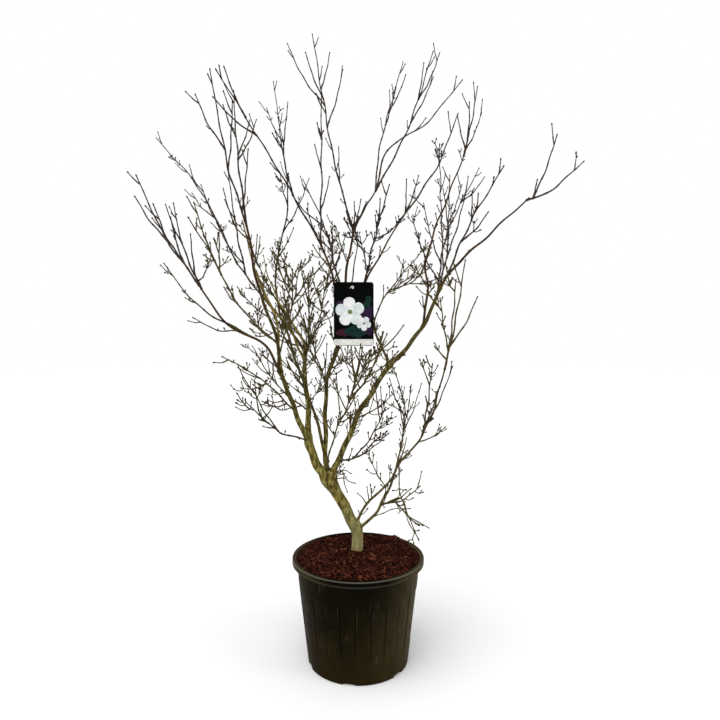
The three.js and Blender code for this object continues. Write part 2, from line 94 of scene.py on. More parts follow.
# Stems and shoots, as in the part's source: the share of its carrier past which a stem runs on
# from the tip, how much of that heading it keeps, how much a side shoot sags as it sets off, how
# far below its nearest place it leaves, in distances off, and the shares that it may leave at
RUN_ON_SHARE = 0.9
RUN_ON_BOW = 0.5
SHOOT_SAG = 0.15
SHOOT_RUN = 2.3
SHOOT_TRIES = 40
SHOOT_LOWEST = 0.1
SHOOT_HIGHEST = 0.88

# Twigs, as in the part's source: their pairs' spacing, first and last share and wander; then each
# one's length, with what chance and the share along the stem leave of it, and its shape
PAIR_SPACING = 145.0
BARE_SHARE = 0.25
LAST_SHARE = 0.96
PAIR_WANDER = 0.3
TWIG_LENGTH = 115.0
TWIG_SHORTEST = 0.35
TWIG_AT_FOOT = 1.15
TWIG_SHORTENING = 0.55
TWIG_THICK = 4.0
TWIG_LEAN = 0.42
TWIG_LEAN_SPREAD = 0.3
TWIG_ELBOW = 0.45
TWIG_LIFT = 0.28
TWIG_CLEAR = 4.0

# Bark's lumps: how high, in radii, how wide, how squeezed the height is to find them, their seed
BARK_RELIEF: tuple[tuple[float, float, float, int], ...] = (
    (0.05, 26.0, 1.0, 3), (0.025, 7.0, 0.45, 5), (0.016, 2.6, 0.45, 7))

# Soft lumps: how many sines make them, how quick each is for the width, and their mean's gain
WAVE_COUNT = 8
WAVE_PACES = (0.6, 1.5)
WAVE_GAIN = 1.7

# Sprays that are none: slender shoots and spurs on the boughs, and the smooth stout shoots
ON_BOUGHS = -1
SMOOTH_SHOOTS = -2

# Sizes of the buds on branches, spurs and branchlets, and how common each kind of chip is
BUD_SIZES = ((0.8, 1.1), (0.8, 1.25), (0.7, 1.05))
CHIP_SHARES = (0.34, 0.30, 0.22, 0.14)

# Pot and soil
POT_HEIGHT = 390.0
RIM_RADIUS = 250.0
RIM_BAND = 22.0
MOUTH_RADIUS = 233.0
COLLAR_RADIUS = 227.0
COLLAR_FOOT = 312.0
FOOT_RADIUS = 189.0
WALL_THICK = 4.0
POT_TURN = math.radians(-100)
SOIL_MIDDLE = 394.0
SOIL_EDGE = 384.0

# Picture card
CARD_WIDTH = 150.0
CARD_HEIGHT = 240.0
CARD_THICK = 1.2
CARD_CORNER = 8.0
CARD_MIDDLE: Place = (-17, 1310, -40)
CARD_CLEAR = 14.0
CARD_SIGHT = 6.0

# Trunk's way from the soil to its fork, each place as (right, up, back)
TRUNK_BENDS: tuple[Place, ...] = (
    (-5, 375, 42), (-4, 440, 41), (-9, 492, 38), (-36, 542, 33), (-66, 599, 26), (-96, 656, 18),
    (-122, 705, 10))

# Each bough: the limb it leaves, how far along that, its thickness at foot and tip, its bends
BOUGHS: dict[str, tuple] = {
    "left_stem": ("trunk", 0.88, 36, 27, (-160, 740, 0), (-195, 845, -10)),
    "left_bough": ("left_stem", 0.8, 21, 15, (-235, 925, -30), (-305, 1110, -60)),
    "left_leader": ("left_bough", 0.97, 13, 7, (-310, 1210, -75), (-385, 1430, -120),
        (-440, 1745, -180)),
    "low_left_bough": ("left_bough", 0.93, 10, 6, (-370, 1205, -120), (-495, 1265, -180), (-615, 1430, -250)),
    "inner_left_bough": ("left_stem", 0.95, 23, 15, (-190, 945, 15), (-205, 1075, 40), (-200, 1170, 60)),
    "upper_left_bough": ("inner_left_bough", 0.97, 11, 6, (-260, 1250, 110), (-365, 1375, 180),
        (-470, 1510, 260)),
    "back_bough": ("trunk", 0.95, 13, 7, (-145, 855, 55), (-180, 965, 100), (-310, 1365, 280),
        (-305, 1555, 340)),
    "middle_bough": ("trunk", 0.97, 19, 14, (-125, 790, 5), (-120, 1045, 15), (-75, 1185, 20)),
    "centre_bough": ("middle_bough", 0.97, 12, 8, (-60, 1295, 25), (-50, 1440, 30), (-15, 1640, 50)),
    "upper_bough": ("centre_bough", 0.97, 8, 6, (20, 1705, 95), (70, 1785, 150)),
    "centre_left_bough": ("middle_bough", 0.95, 11, 7, (-75, 1325, 0), (-105, 1480, -30), (-150, 1595, -60)),
    "inner_right_bough": ("middle_bough", 0.88, 10, 5, (-20, 1330, -15), (70, 1510, 0), (165, 1675, 0)),
    "right_bough": ("trunk", 0.93, 23, 17, (-45, 815, -20), (0, 925, -40), (125, 1125, -80)),
    "right_outer_bough": ("right_bough", 0.97, 17, 11, (190, 1185, -90), (265, 1295, -110),
        (315, 1415, -125)),
    "right_leader": ("right_outer_bough", 0.55, 9, 5, (265, 1400, -70), (270, 1560, -30), (410, 1930, 80)),
    "far_right_bough": ("right_outer_bough", 0.97, 10, 5, (360, 1480, -140), (475, 1590, -190),
        (655, 1755, -240)),
    "slim_inner_stem": ("trunk", 0.34, 11, 7, (35, 590, 60), (100, 645, 95), (145, 725, 135),
        (170, 835, 190)),
    "slim_outer_stem": ("trunk", 0.3, 12, 8, (50, 530, 0), (100, 605, -65), (160, 750, -120)),
    "low_right_bough": ("slim_outer_stem", 0.97, 8, 5, (215, 805, -160), (275, 905, -220), (335, 1110, -300)),
}

# Each spray: the limb its stem leaves, how far along that, the stem's own bends, and the tips
# that its stem and side shoots reach, the stem's first
SPRAYS: dict[str, tuple] = {
    "low_left_sweep": ("low_left_bough", 0.4, [(-615, 1345, -70)], [(-740, 1500, -20), (-630, 1295, 30)]),
    "far_left_spray": ("low_left_bough", 0.97, [(-745, 1620, -320)],
        [(-845, 1835, -380), (-850, 1755, -310), (-780, 1725, -430), (-715, 1675, -370)]),
    "left_upright_spray": ("low_left_bough", 0.94, [(-670, 1570, -150)],
        [(-705, 1730, -110), (-735, 1725, -60), (-640, 1610, -190), (-570, 1505, -50)]),
    "left_mid_spray": ("left_leader", 0.15, [(-450, 1335, -250), (-550, 1520, -400)],
        [(-645, 1675, -520), (-625, 1730, -440), (-530, 1615, -480), (-510, 1410, -380)]),
    "upper_left_sweep": ("upper_left_bough", 0.97, [(-600, 1775, 330)],
        [(-770, 1980, 390), (-600, 1800, 250), (-635, 1770, 420), (-645, 1875, 330)]),
    "upper_left_spray": ("upper_left_bough", 0.85, [],
        [(-500, 1880, 110), (-515, 1785, 60), (-540, 1655, 60)]),
    "left_top_spray": ("left_leader", 0.85, [(-500, 1890, -220)],
        [(-565, 2240, -300), (-620, 2145, -240), (-480, 2115, -330), (-420, 1935, -290)]),
    "left_top_inner": ("left_leader", 0.97, [],
        [(-475, 2160, -40), (-515, 2105, -120), (-390, 2050, 0), (-415, 2045, -130)]),
    "rear_left_spray": ("back_bough", 0.97, [(-270, 1775, 380)],
        [(-325, 2195, 470), (-350, 2095, 530), (-190, 1825, 460), (-270, 2115, 400), (-300, 1850, 470)]),
    "inner_left_cluster": ("left_leader", 0.08, [(-250, 1340, -190)],
        [(-225, 1485, -300), (-250, 1475, -230), (-190, 1460, -250)]),
    "top_spray": ("centre_bough", 0.97, [(-95, 1910, 90)],
        [(-175, 2375, 130), (-270, 2340, 200), (-60, 2240, 120), (-200, 2305, 60), (-110, 2305, 170),
         (-75, 1945, 160)]),
    "upper_right_spray": ("upper_bough", 0.97, [(190, 2020, 200)],
        [(285, 2310, 230), (310, 2305, 310), (250, 2265, 170), (285, 2210, 150)]),
    "upper_spray": ("upper_bough", 0.95, [(85, 1960, 240)],
        [(170, 2270, 330), (140, 2175, 430), (180, 2220, 250)]),
    "upper_far_spray": ("upper_bough", 0.97, [(115, 1940, 130), (255, 2035, 60)], [(395, 2200, 0)]),
    "crown_left_spray": ("centre_left_bough", 0.95, [(-305, 1860, -200)],
        [(-540, 2240, -400), (-550, 2135, -320), (-510, 2250, -340), (-300, 2010, -330)]),
    "vertical_shoot": ("centre_left_bough", 0.97, [(-140, 1800, -150)],
        [(-140, 2145, -260), (-110, 1830, -210), (-155, 2035, -210)]),
    "crossing_shoot": ("centre_bough", 0.42, [(-130, 1645, 110)],
        [(-210, 1820, 150), (-250, 1760, 120), (-100, 1660, 180)]),
    "centre_fan": ("centre_bough", 0.95, [],
        [(-15, 1735, -30), (-45, 1700, -60), (30, 1735, -30), (10, 1745, -100)]),
    "card_twig": ("centre_bough", 0.2, [], [(0, 1590, -20)]),
    "inner_right_spray": ("inner_right_bough", 0.97, [(300, 1870, -110)],
        [(380, 2070, -200), (185, 1820, -90), (230, 1835, 0)]),
    "thin_upright_spray": ("inner_right_bough", 0.5, [(70, 1625, -240)],
        [(120, 1800, -440), (85, 1745, -330), (25, 1560, -300)]),
    "right_top_spray": ("right_leader", 0.97, [],
        [(425, 2115, 80), (455, 2175, 120), (380, 2065, 60), (470, 2075, 170)]),
    "right_fan_inner": ("right_outer_bough", 0.98, [(345, 1600, 40)],
        [(325, 1785, 190), (395, 1800, 150), (310, 1930, 260), (350, 1835, 60), (415, 1795, 60)]),
    "right_fan_middle": ("right_outer_bough", 0.9, [(340, 1620, 180)],
        [(460, 1865, 400), (250, 1730, 300), (480, 1830, 310), (205, 1680, 210)]),
    "right_fan_outer": ("far_right_bough", 0.12, [(425, 1650, -300)],
        [(555, 1870, -440), (495, 1695, -300), (460, 1765, -380)]),
    "far_right_spray": ("far_right_bough", 0.97, [(735, 1780, -235)],
        [(860, 1890, -220), (760, 1990, -280), (685, 1820, -310)]),
    "low_right_inner_spray": ("slim_inner_stem", 0.97, [(175, 960, 260)],
        [(125, 1135, 370), (200, 1025, 400), (240, 1040, 300), (120, 1060, 260)]),
    "right_low_spray": ("low_right_bough", 0.97, [],
        [(410, 1510, -410), (455, 1370, -340), (315, 1365, -420), (375, 1435, -500), (295, 1195, -360)]),
    "low_right_cluster": ("low_right_bough", 0.35, [],
        [(285, 1115, -420), (360, 1105, -180), (305, 1015, -290), (260, 990, -330)]),
    "low_right_twig": ("slim_outer_stem", 0.45, [(165, 605, -150), (190, 540, -170)],
        [(230, 450, -200), (235, 650, -220), (200, 640, -110), (265, 495, -130)]),
    "low_left_spray": ("left_stem", 0.9, [],
        [(-425, 970, -290), (-360, 880, -220), (-400, 1020, -220), (-380, 940, -320)]),
    "left_flat_spray": ("left_bough", 0.45, [(-375, 1065, -230)],
        [(-515, 1145, -370), (-405, 1060, -330), (-365, 975, -260)]),
    "left_inner_twig": ("inner_left_bough", 0.3, [],
        [(-405, 1185, 400), (-365, 975, 300), (-350, 1165, 330)]),
    "inner_spray": ("trunk", 0.98, [(-95, 830, -90)],
        [(50, 1165, -330), (-25, 1180, -330), (10, 1190, -260), (110, 1230, -400)]),
    "right_inner_spray": ("right_bough", 0.15, [], [(85, 845, -280), (105, 950, -250), (55, 800, -180)]),
    "crossing_spray": ("right_bough", 0.97, [(70, 1315, 60)],
        [(265, 1580, 300), (55, 1325, 170), (265, 1480, 190), (170, 1440, 250)]),
    "inner_left_fan": ("inner_left_bough", 0.97, [],
        [(-75, 1315, 270), (-190, 1460, 230), (-315, 1240, 200), (-435, 1630, 330)]),
}

# Where the photo's crown is a thicket: how far right and up, how far it reaches, how dense it is
THICKETS: tuple[tuple[float, float, float, float], ...] = (
    (-365, 1515, 130, 0.85), (-250, 1330, 170, 1.0), (-150, 1390, 120, 1.0), (-160, 1080, 175, 1.0),
    (-340, 1030, 150, 0.65), (-90, 1540, 95, 0.9), (65, 1560, 85, 0.75), (285, 1640, 170, 0.42),
    (215, 1400, 115, 0.9), (170, 1120, 120, 0.68), (160, 905, 120, 0.7), (0, 930, 150, 1.0),
    (0, 1130, 125, 1.0), (130, 640, 110, 0.42), (110, 775, 90, 0.8), (-40, 680, 50, 0.75))

# Slender shoots that the photo shows beside the boughs and sprays: the limb each leaves, how far
# along that, its thickness, and the places that it passes to its tip
SLENDER: tuple[tuple, ...] = (
    ("left_bough", 0.85, 10, (-304, 1172, -66), (-301, 1229, -72), (-314, 1294, -78), (-344, 1352, -84),
     (-371, 1417, -92), (-396, 1485, -100), (-419, 1573, -112), (-442, 1661, -120)),
    ("inner_left_bough", 0.9, 10, (-226, 1172, 34), (-249, 1237, 18), (-291, 1291, 0), (-333, 1344, -16),
     (-360, 1401, -30), (-386, 1470, -44)),
    ("inner_left_bough", 0.94, 9, (-204, 1190, 70), (-228, 1241, 76), (-264, 1294, 84), (-302, 1355, 96),
     (-322, 1401, 104), (-346, 1459, 112), (-362, 1530, 120)),
    ("inner_left_bough", 0.45, 5, (-222, 1012, -14), (-250, 1030, -34), (-287, 1060, -52)),
    ("inner_left_bough", 0.62, 8, (-222, 1092, 10), (-250, 1155, -6), (-276, 1207, -20), (-300, 1270, -30)),
    ("middle_bough", 0.68, 5.5, (-146, 1111, -4), (-169, 1180, -14), (-180, 1229, -22), (-186, 1290, -30)),
    ("inner_left_bough", 0.4, 4.5, (-160, 1005, -10), (-138, 1027, -24), (-108, 1080, -36)),
    ("inner_left_bough", 0.97, 5.5, (-160, 1262, 70), (-144, 1312, 80), (-134, 1363, 88), (-119, 1447, 96),
     (-108, 1500, 100)),
    ("inner_left_bough", 0.96, 5, (-182, 1240, 50), (-188, 1300, 44), (-186, 1350, 40), (-162, 1400, 36),
     (-144, 1432, 32)),
    ("middle_bough", 0.97, 4.5, (-98, 1232, 50), (-112, 1290, 66), (-140, 1330, 80)),
    ("trunk", 0.95, 5.5, (-62, 708, -34), (-54, 668, -42), (-43, 634, -46)),
    ("trunk", 0.95, 5.5, (-56, 712, -34), (-31, 702, -40)),
    ("trunk", 0.9, 5.5, (-56, 684, -40), (-36, 670, -46), (-16, 664, -50)),
    ("slim_outer_stem", 0.97, 4.5, (160, 637, -150), (179, 561, -172), (198, 507, -186), (229, 454, -200)),
    ("slim_outer_stem", 0.55, 4.5, (104, 652, -128), (68, 705, -140), (36, 788, -150)),
    ("slim_outer_stem", 0.25, 4.5, (112, 556, -70), (150, 566, -84), (194, 566, -96)),
    ("slim_inner_stem", 0.23, 4.5, (18, 606, 52), (0, 622, 46)),
    ("slim_inner_stem", 0.27, 4.5, (38, 618, 58), (34, 645, 54)),
    ("slim_inner_stem", 0.31, 4.5, (50, 618, 66), (52, 638, 66)))


class Slot(Enum):
    """The record's material slots."""

    POT = "pot_plastic"
    SOIL = "soil"
    OLIVE = "olive_bark"
    BROWN = "brown_bark"
    TWIG = "twig_bark"
    CARD = "card"


def seen(places: Iterable[Sequence[float]]) -> Array:
    """Turn (right, up, back) rows into places in the tree's frame.

    Right and up are spread away from the eye's axis by 1 + back / the eye's distance.

    Args:
        places: rows of how far right of the pot's middle, how high and how far behind it.

    Returns:
        One row of x, y and z for each, in millimetres.
    """
    rows = np.array([list(row) for row in places], float).reshape(-1, 3)
    spread = 1 + rows[:, 2] / EYE_DISTANCE
    height = EYE_HEIGHT + (rows[:, 1] - EYE_HEIGHT) * spread
    return np.stack([rows[:, 0] * spread, rows[:, 2], height], axis=1)


def unit(vectors: Array) -> Array:
    """Divide each vector by its own length."""
    return vectors / np.maximum(np.linalg.norm(vectors, axis=-1, keepdims=True), 1e-12)


def numbers_from(seed: int) -> Iterator[float]:
    """Give a fair run of numbers from 0 to 1, by a linear congruence of 32 bits.

    Args:
        seed: the state that the run starts from.

    Returns:
        An endless run, the same each time for one seed.
    """
    state = seed
    while True:
        state = (state * 1664525 + 1013904223) & 0xFFFFFFFF
        yield state / 4294967296


def stretch_distance(a: Array, b: Array, c: Array, d: Array) -> Array:
    """Measure the shortest distance between the stretches a-b and c-d.

    The nearest shares s and t of the two solve the equations that set the line between them at
    right angles to both, each held between 0 and 1.

    Args:
        a: one end of each first stretch.
        b: its other end.
        c: one end of each second stretch.
        d: its other end.

    Returns:
        A distance for each pair, the arrays being spread over each other.
    """
    first, second, between = b - a, d - c, a - c
    aa, bb, ab = (first * first).sum(-1), (second * second).sum(-1), (first * second).sum(-1)
    ac, bc = (first * between).sum(-1), (second * between).sum(-1)
    spread = aa * bb - ab * ab
    s = np.where(spread > 1e-9, np.clip((ab * bc - ac * bb) / np.maximum(spread, 1e-9), 0, 1), 0)
    t = np.clip((ab * s + bc) / bb, 0, 1)
    s = np.clip((ab * t - ac) / aa, 0, 1)
    return np.linalg.norm(between + first * s[..., None] - second * t[..., None], axis=-1)


class Way:
    """A smooth way through places: a Catmull-Rom curve, walked by its own length."""

    PARTS = 200
    STEP = 1e-4

    def __init__(self, places: Sequence[Array] | Array) -> None:
        """Lay the curve and measure it in PARTS pieces.

        Args:
            places: its foot, bends and tip.
        """
        self.places = np.array(places, float)
        before = 2 * self.places[0] - self.places[1]
        after = 2 * self.places[-1] - self.places[-2]
        self._padded = np.vstack([before, self.places, after])
        self._knots = np.linspace(0, 1, self.PARTS + 1)
        steps = np.linalg.norm(np.diff(self._curve(self._knots), axis=0), axis=1)
        self._lengths = np.concatenate([[0], np.cumsum(steps)])
        self.length = float(self._lengths[-1])

    def _curve(self, knots: Array) -> Array:
        """Give the cubic between two places whose slopes are half the chords beside them.

        Args:
            knots: how far along, from 0 to 1, with a like share for each span.

        Returns:
            One place for each knot.
        """
        spans = len(self.places) - 1
        span = np.minimum(np.floor(knots * spans).astype(int), spans - 1)
        w = (knots * spans - span)[:, None]
        a, b, c, d = (self._padded[span + i] for i in range(4))
        start, end = 0.5 * (c - a), 0.5 * (d - b)
        return (b + start * w + (3 * (c - b) - 2 * start - end) * w ** 2
                + (2 * (b - c) + start + end) * w ** 3)

    def _knot(self, shares: Array | float) -> Array:
        """Find the curve's own parameter at shares of its length."""
        return np.interp(np.atleast_1d(shares) * self.length, self._lengths, self._knots)

    def at(self, shares: Array | float) -> Array:
        """Give the places at shares of the way's length."""
        return self._curve(self._knot(shares))

    def ahead(self, shares: Array | float) -> Array:
        """Give the headings at shares of the way's length.

        Args:
            shares: how far along, from 0 to 1.

        Returns:
            A heading for each.
        """
        knots = self._knot(shares)
        early, late = np.clip(knots - self.STEP, 0, 1), np.clip(knots + self.STEP, 0, 1)
        return unit(self._curve(late) - self._curve(early))


class Limb:
    """A limb of the source's tree: a curve in straight stretches, with its taper."""

    number = -1

    def __init__(self, spray: int, places: Sequence[Array] | Array, thick: float, thin: float,
                 stretch: float, carrier: "Limb | None" = None, share: float = 0.0) -> None:
        """Lay the limb through its places.

        Args:
            spray: its spray, or -1 for the trunk and the boughs.
            places: its foot, bends and tip.
            thick: its thickness at the foot.
            thin: its thickness at the tip.
            stretch: how long its straight stretches are.
            carrier: the limb that it leaves.
            share: how far along its carrier.
        """
        self.spray, self.carrier, self.share = spray, carrier, share
        self.thick, self.thin = thick, thin
        self.way = Way(places)
        self.length = self.way.length
        self.steps = max(2, math.floor(self.length / stretch + 0.5))
        self.spine = self.way.at(np.arange(self.steps + 1) / self.steps)

    def place(self, share: float) -> Array:
        """Give the place at a share of the way, on the straight stretch that it falls in.

        Args:
            share: how far along, from 0 to 1.

        Returns:
            The place.
        """
        step = min(self.steps - 1, math.floor(share * self.steps))
        part = share * self.steps - step
        return self.spine[step] * (1 - part) + self.spine[step + 1] * part

    def radius(self, shares: Array) -> Array:
        """Give half the thickness at shares of the way, by a steady taper."""
        return 0.5 * (self.thick + (self.thin - self.thick) * shares)


class Trunk(Limb):
    """The trunk, with the flare at the soil and the swelling of the fork."""

    def radius(self, shares: Array) -> Array:
        """Multiply the steady taper by 1 + the flare's and the fork's fading swellings.

        Args:
            shares: how far along, from 0 to 1.

        Returns:
            A radius for each.
        """
        flare = ROOT_FLARE * np.exp(-shares * self.length / ROOT_FLARE_REACH)
        fork = FORK_SWELLING * np.exp((shares - 1) * self.length / FORK_REACH)
        return super().radius(shares) * (1 + flare + fork)


class Stretches:
    """All the straight stretches that stand so far, as arrays that grow."""

    def __init__(self, room: int) -> None:
        """Start with none.

        Args:
            room: how many there may come to be.
        """
        self.ends = np.zeros((2, room, 3))
        self.radius = np.zeros(room)
        self.spray = np.full(room, -1)
        self.limb = np.full(room, -1)
        self.count = self.limbs = 0

    def add(self, limb: Limb) -> None:
        """Number a limb and add its stretches.

        Args:
            limb: the limb, whose radius counts as it is at each stretch's foot.
        """
        stop = self.count + limb.steps
        here = slice(self.count, stop)
        self.ends[0, here], self.ends[1, here] = limb.spine[:-1], limb.spine[1:]
        self.radius[here] = limb.radius(np.arange(limb.steps) / limb.steps)
        limb.number = self.limbs
        self.spray[here], self.limb[here] = limb.spray, limb.number
        self.count, self.limbs = stop, self.limbs + 1


class Skeleton:
    """The tree's limbs and twigs, grown by the rule of the part's source."""

    ROOM = 6000

    def __init__(self) -> None:
        """Grow the trunk, the boughs, each spray's stem and shoots, and then the twigs."""
        trunk = Trunk(-1, seen(TRUNK_BENDS), TRUNK_THICK, TRUNK_FORK_THICK, TRUNK_STRETCH)
        self.limbs: dict[str, Limb] = {"trunk": trunk}
        for name, (parent, share, thick, thin, *bends) in BOUGHS.items():
            carrier = self.limbs[parent]
            places = [carrier.place(share), *seen(bends)]
            self.limbs[name] = Limb(-1, places, thick, thin, BOUGH_STRETCH, carrier, share)
        self.stems: list[list[Limb]] = []
        for spray, (parent, share, bends, tips) in enumerate(SPRAYS.values()):
            self.stems.append(self._stems(spray, self.limbs[parent], share, bends, tips))
        self.card = seen([CARD_MIDDLE])[0]
        self._stretches = Stretches(self.ROOM)
        for limb in [*self.limbs.values(), *(stem for stems in self.stems for stem in stems)]:
            self._stretches.add(limb)
        self.twigs: list[list[Limb]] = []
        for spray, stems in enumerate(self.stems):
            random = numbers_from(spray + 1)
            self.twigs.append([twig for stem in stems for twig in self._grow(stem, random)])

    @staticmethod
    def bowed(carrier: Limb, share: float, bends: Array, tip: Array) -> list[Array]:
        """Go from the carrier to the tip, by way of a place half the reach out.

        One that runs on from the carrier's end sets off between the carrier's heading and the tip's,
        and one from its side a little lower than the tip's heading.

        Args:
            carrier: the limb that is left.
            share: how far along it.
            bends: the way's own bends, which take the place of that rule where there are any.
            tip: where the way ends.

        Returns:
            The way's places, from its foot to its tip.
        """
        foot = carrier.place(share)
        if len(bends):
            return [foot, *bends, tip]
        straight = tip - foot
        reach = np.linalg.norm(straight)
        runs_on = share > RUN_ON_SHARE
        turn = carrier.way.ahead(share)[0] * RUN_ON_BOW if runs_on else np.array([0, 0, -SHOOT_SAG])
        return [foot, foot + unit(straight / reach + turn) * 0.5 * reach, tip]

    @staticmethod
    def shoot_share(stem: Limb, tip: Array) -> float:
        """Find where on its stem a side shoot leaves.

        It goes back from the stem's nearest place to the tip by SHOOT_RUN times the distance off.

        Args:
            stem: the stem.
            tip: where the shoot ends.

        Returns:
            A share of the stem's way.
        """
        shares = np.arange(SHOOT_TRIES + 1) / SHOOT_TRIES
        off = np.array([np.linalg.norm(stem.place(share) - tip) for share in shares])
        nearest = int(np.argmin(off))
        share = shares[nearest] - SHOOT_RUN * off[nearest] / stem.length
        return float(np.clip(share, SHOOT_LOWEST, SHOOT_HIGHEST))

    def _stems(self, spray: int, carrier: Limb, share: float, bends: Sequence[Place],
               tips: Sequence[Place]) -> list[Limb]:
        """Lay a spray's stem to its first tip and a side shoot to each other one.

        Args:
            spray: the spray's number.
            carrier: the limb that the stem leaves.
            share: how far along it.
            bends: the stem's own bends, if it has any.
            tips: the tips, the stem's first.

        Returns:
            The stem and its shoots.
        """
        tip, *others = seen(tips)
        way = self.bowed(carrier, share, seen(bends), tip)
        stem = Limb(spray, way, STEM_THICK, TIP_THICK, STEM_STRETCH, carrier, share)
        stems = [stem]
        for end in others:
            leaves = self.shoot_share(stem, end)
            stems.append(Limb(spray, self.bowed(stem, leaves, np.empty((0, 3)), end), SHOOT_THICK,
                              TIP_THICK, STEM_STRETCH, stem, leaves))
        return stems

    def near_card(self, places: Array) -> Array:
        """Say which places lie in the air kept free round the picture card."""
        room = np.array([CARD_WIDTH / 2, 0, CARD_HEIGHT / 2]) + CARD_CLEAR
        return (np.abs(places - self.card) < room).all(-1)

    def hides_card(self, places: Array) -> Array:
        """Say which places stand before the picture card as the eye sees it.

        Each is brought to the card's own distance by dividing its offsets from the eye's axis by the
        two distances' ratio, and held against the card's outline there.

        Args:
            places: rows of x, y and z.

        Returns:
            True for each that is nearer than the card and within CARD_SIGHT of its outline.
        """
        ratio = (EYE_DISTANCE + places[..., 1]) / (EYE_DISTANCE + self.card[1])
        right = places[..., 0] / ratio - self.card[0]
        up = EYE_HEIGHT + (places[..., 2] - EYE_HEIGHT) / ratio - self.card[2]
        beside = np.abs(right) < CARD_WIDTH / 2 + CARD_SIGHT
        return beside & (np.abs(up) < CARD_HEIGHT / 2 + CARD_SIGHT) & (ratio < 1)

    def _fits(self, carrier: Limb, places: Array, radius: float) -> bool:
        """Say whether a twig may grow.

        Its tip may not be nearer to another spray's stretches than to its own, and it may not come
        within TWIG_CLEAR of a limb other than its carrier.

        Args:
            carrier: the stem or shoot that bears it.
            places: its foot, elbow and tip.
            radius: half its thickness.

        Returns:
            True if it may.
        """
        if self.near_card(places).any() or places[-1, 2] < POT_HEIGHT:
            return False
        have = self._stretches
        start, end = have.ends[0, :have.count], have.ends[1, :have.count]
        spray, limb = have.spray[:have.count], have.limb[:have.count]
        reach = stretch_distance(places[-1], places[1], start, end)
        other_spray = (spray >= 0) & (spray != carrier.spray)
        if reach[spray == carrier.spray].min() >= reach[other_spray].min():
            return False
        others = limb != carrier.number
        room = radius + have.radius[:have.count] + TWIG_CLEAR
        return not any((stretch_distance(a, b, start, end) < room)[others].any()
                       for a, b in zip(places[:-1], places[1:]))

    def _grow(self, carrier: Limb, random: Iterator[float]) -> list[Limb]:
        """Grow opposite pairs of twigs along a stem, each a quarter turn on.

        Args:
            carrier: the stem or shoot that bears them.
            random: the spray's own run of numbers.

        Returns:
            The twigs that fit.
        """
        twigs = []
        count = math.floor(carrier.length * (1 - BARE_SHARE) / PAIR_SPACING)
        turn = math.pi * next(random)
        for pair in range(1, count + 1):
            along = pair - PAIR_WANDER * next(random)
            share = BARE_SHARE + (LAST_SHARE - BARE_SHARE) * along / count
            foot, ahead = carrier.place(share), carrier.way.ahead(share)[0]
            across = unit(np.cross([0.0, 1.0, 0.0], ahead))
            behind = np.cross(ahead, across)
            turn += math.pi / 2
            for side in (turn, turn + math.pi):
                luck = TWIG_SHORTEST + (1 - TWIG_SHORTEST) * next(random)
                length = TWIG_LENGTH * luck * (TWIG_AT_FOOT - TWIG_SHORTENING * share)
                lean = TWIG_LEAN + TWIG_LEAN_SPREAD * next(random)
                out = across * math.cos(side) + behind * math.sin(side)
                heading = ahead * math.cos(lean) + out * math.sin(lean)
                elbow = foot + heading * TWIG_ELBOW * length
                tip = elbow + unit(heading + [0, 0, TWIG_LIFT]) * (1 - TWIG_ELBOW) * length
                places = np.array([foot, elbow, tip])
                if not self._fits(carrier, places, TWIG_THICK / 2):
                    continue
                twig = Limb(carrier.spray, places, TWIG_THICK, 0, TWIG_LENGTH, carrier, share)
                self._stretches.add(twig)
                twigs.append(twig)
        return twigs


@dataclass
class Surface:
    """Vertices and faces on their way to one mesh.

    Each vertex has an age, which the materials read, and each face a tone, which picks its finish.
    On the pot the age holds painted highlights above 0 and painted shade below 0.
    """

    places: Array
    quads: Array
    tris: Array
    age: Array | float = 0.0
    tone_quads: Array | int = 0
    tone_tris: Array | int = 0

    def __post_init__(self) -> None:
        """Lay the faces out in rows, and spread a single age or tone over all of them."""
        self.quads, self.tris = self.quads.reshape(-1, 4), self.tris.reshape(-1, 3)
        for name, rows in (("age", self.places), ("tone_quads", self.quads), ("tone_tris", self.tris)):
            setattr(self, name, np.broadcast_to(getattr(self, name), len(rows)).copy())

    @staticmethod
    def join(parts: Sequence["Surface"]) -> "Surface":
        """Put surfaces one after another, their faces counted on from the ones before.

        Args:
            parts: the surfaces.

        Returns:
            All of them as one.
        """
        starts = np.cumsum([0, *(len(part.places) for part in parts[:-1])])
        counted = [replace(part, quads=part.quads + start, tris=part.tris + start)
                   for part, start in zip(parts, starts)]
        return Surface(*(np.concatenate([getattr(part, row.name) for part in counted])
                         for row in fields(Surface)))

    def piece(self, name: str, slot: Slot, finishes: Sequence[Material],
              stands_for: Sequence[str] = (), smooth: bool = True) -> None:
        """Make the surface a mesh object in metres, which rides on the tree's one body.

        Args:
            name: the piece's name.
            slot: the record's slot; not used.
            finishes: its materials, picked by the faces' tones.
            stands_for: the nodes that it replaces.
            smooth: whether its faces are shaded smooth.
        """
        mesh = bpy.data.meshes.new(name)
        faces = [*self.quads.tolist(), *self.tris.tolist()]
        mesh.from_pydata((self.places * MM).tolist(), [], faces)
        for finish in finishes:
            mesh.materials.append(finish)
        tones = np.concatenate([self.tone_quads, self.tone_tris])
        mesh.polygons.foreach_set("material_index", tones.astype(np.int32))
        mesh.polygons.foreach_set("use_smooth", np.full(len(faces), smooth))
        age = mesh.attributes.new("age", "FLOAT", "POINT")
        age.data.foreach_set("value", self.age.astype(np.float32))
        mesh.update()
        mesh.validate()
        piece = bpy.data.objects.new(name, mesh)
        bpy.context.scene.collection.objects.link(piece)
        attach(piece, "root")
        if stands_for:
            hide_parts(*stands_for)
        LOG.info("%s: %d triangles", name, 2 * len(self.quads) + len(self.tris))


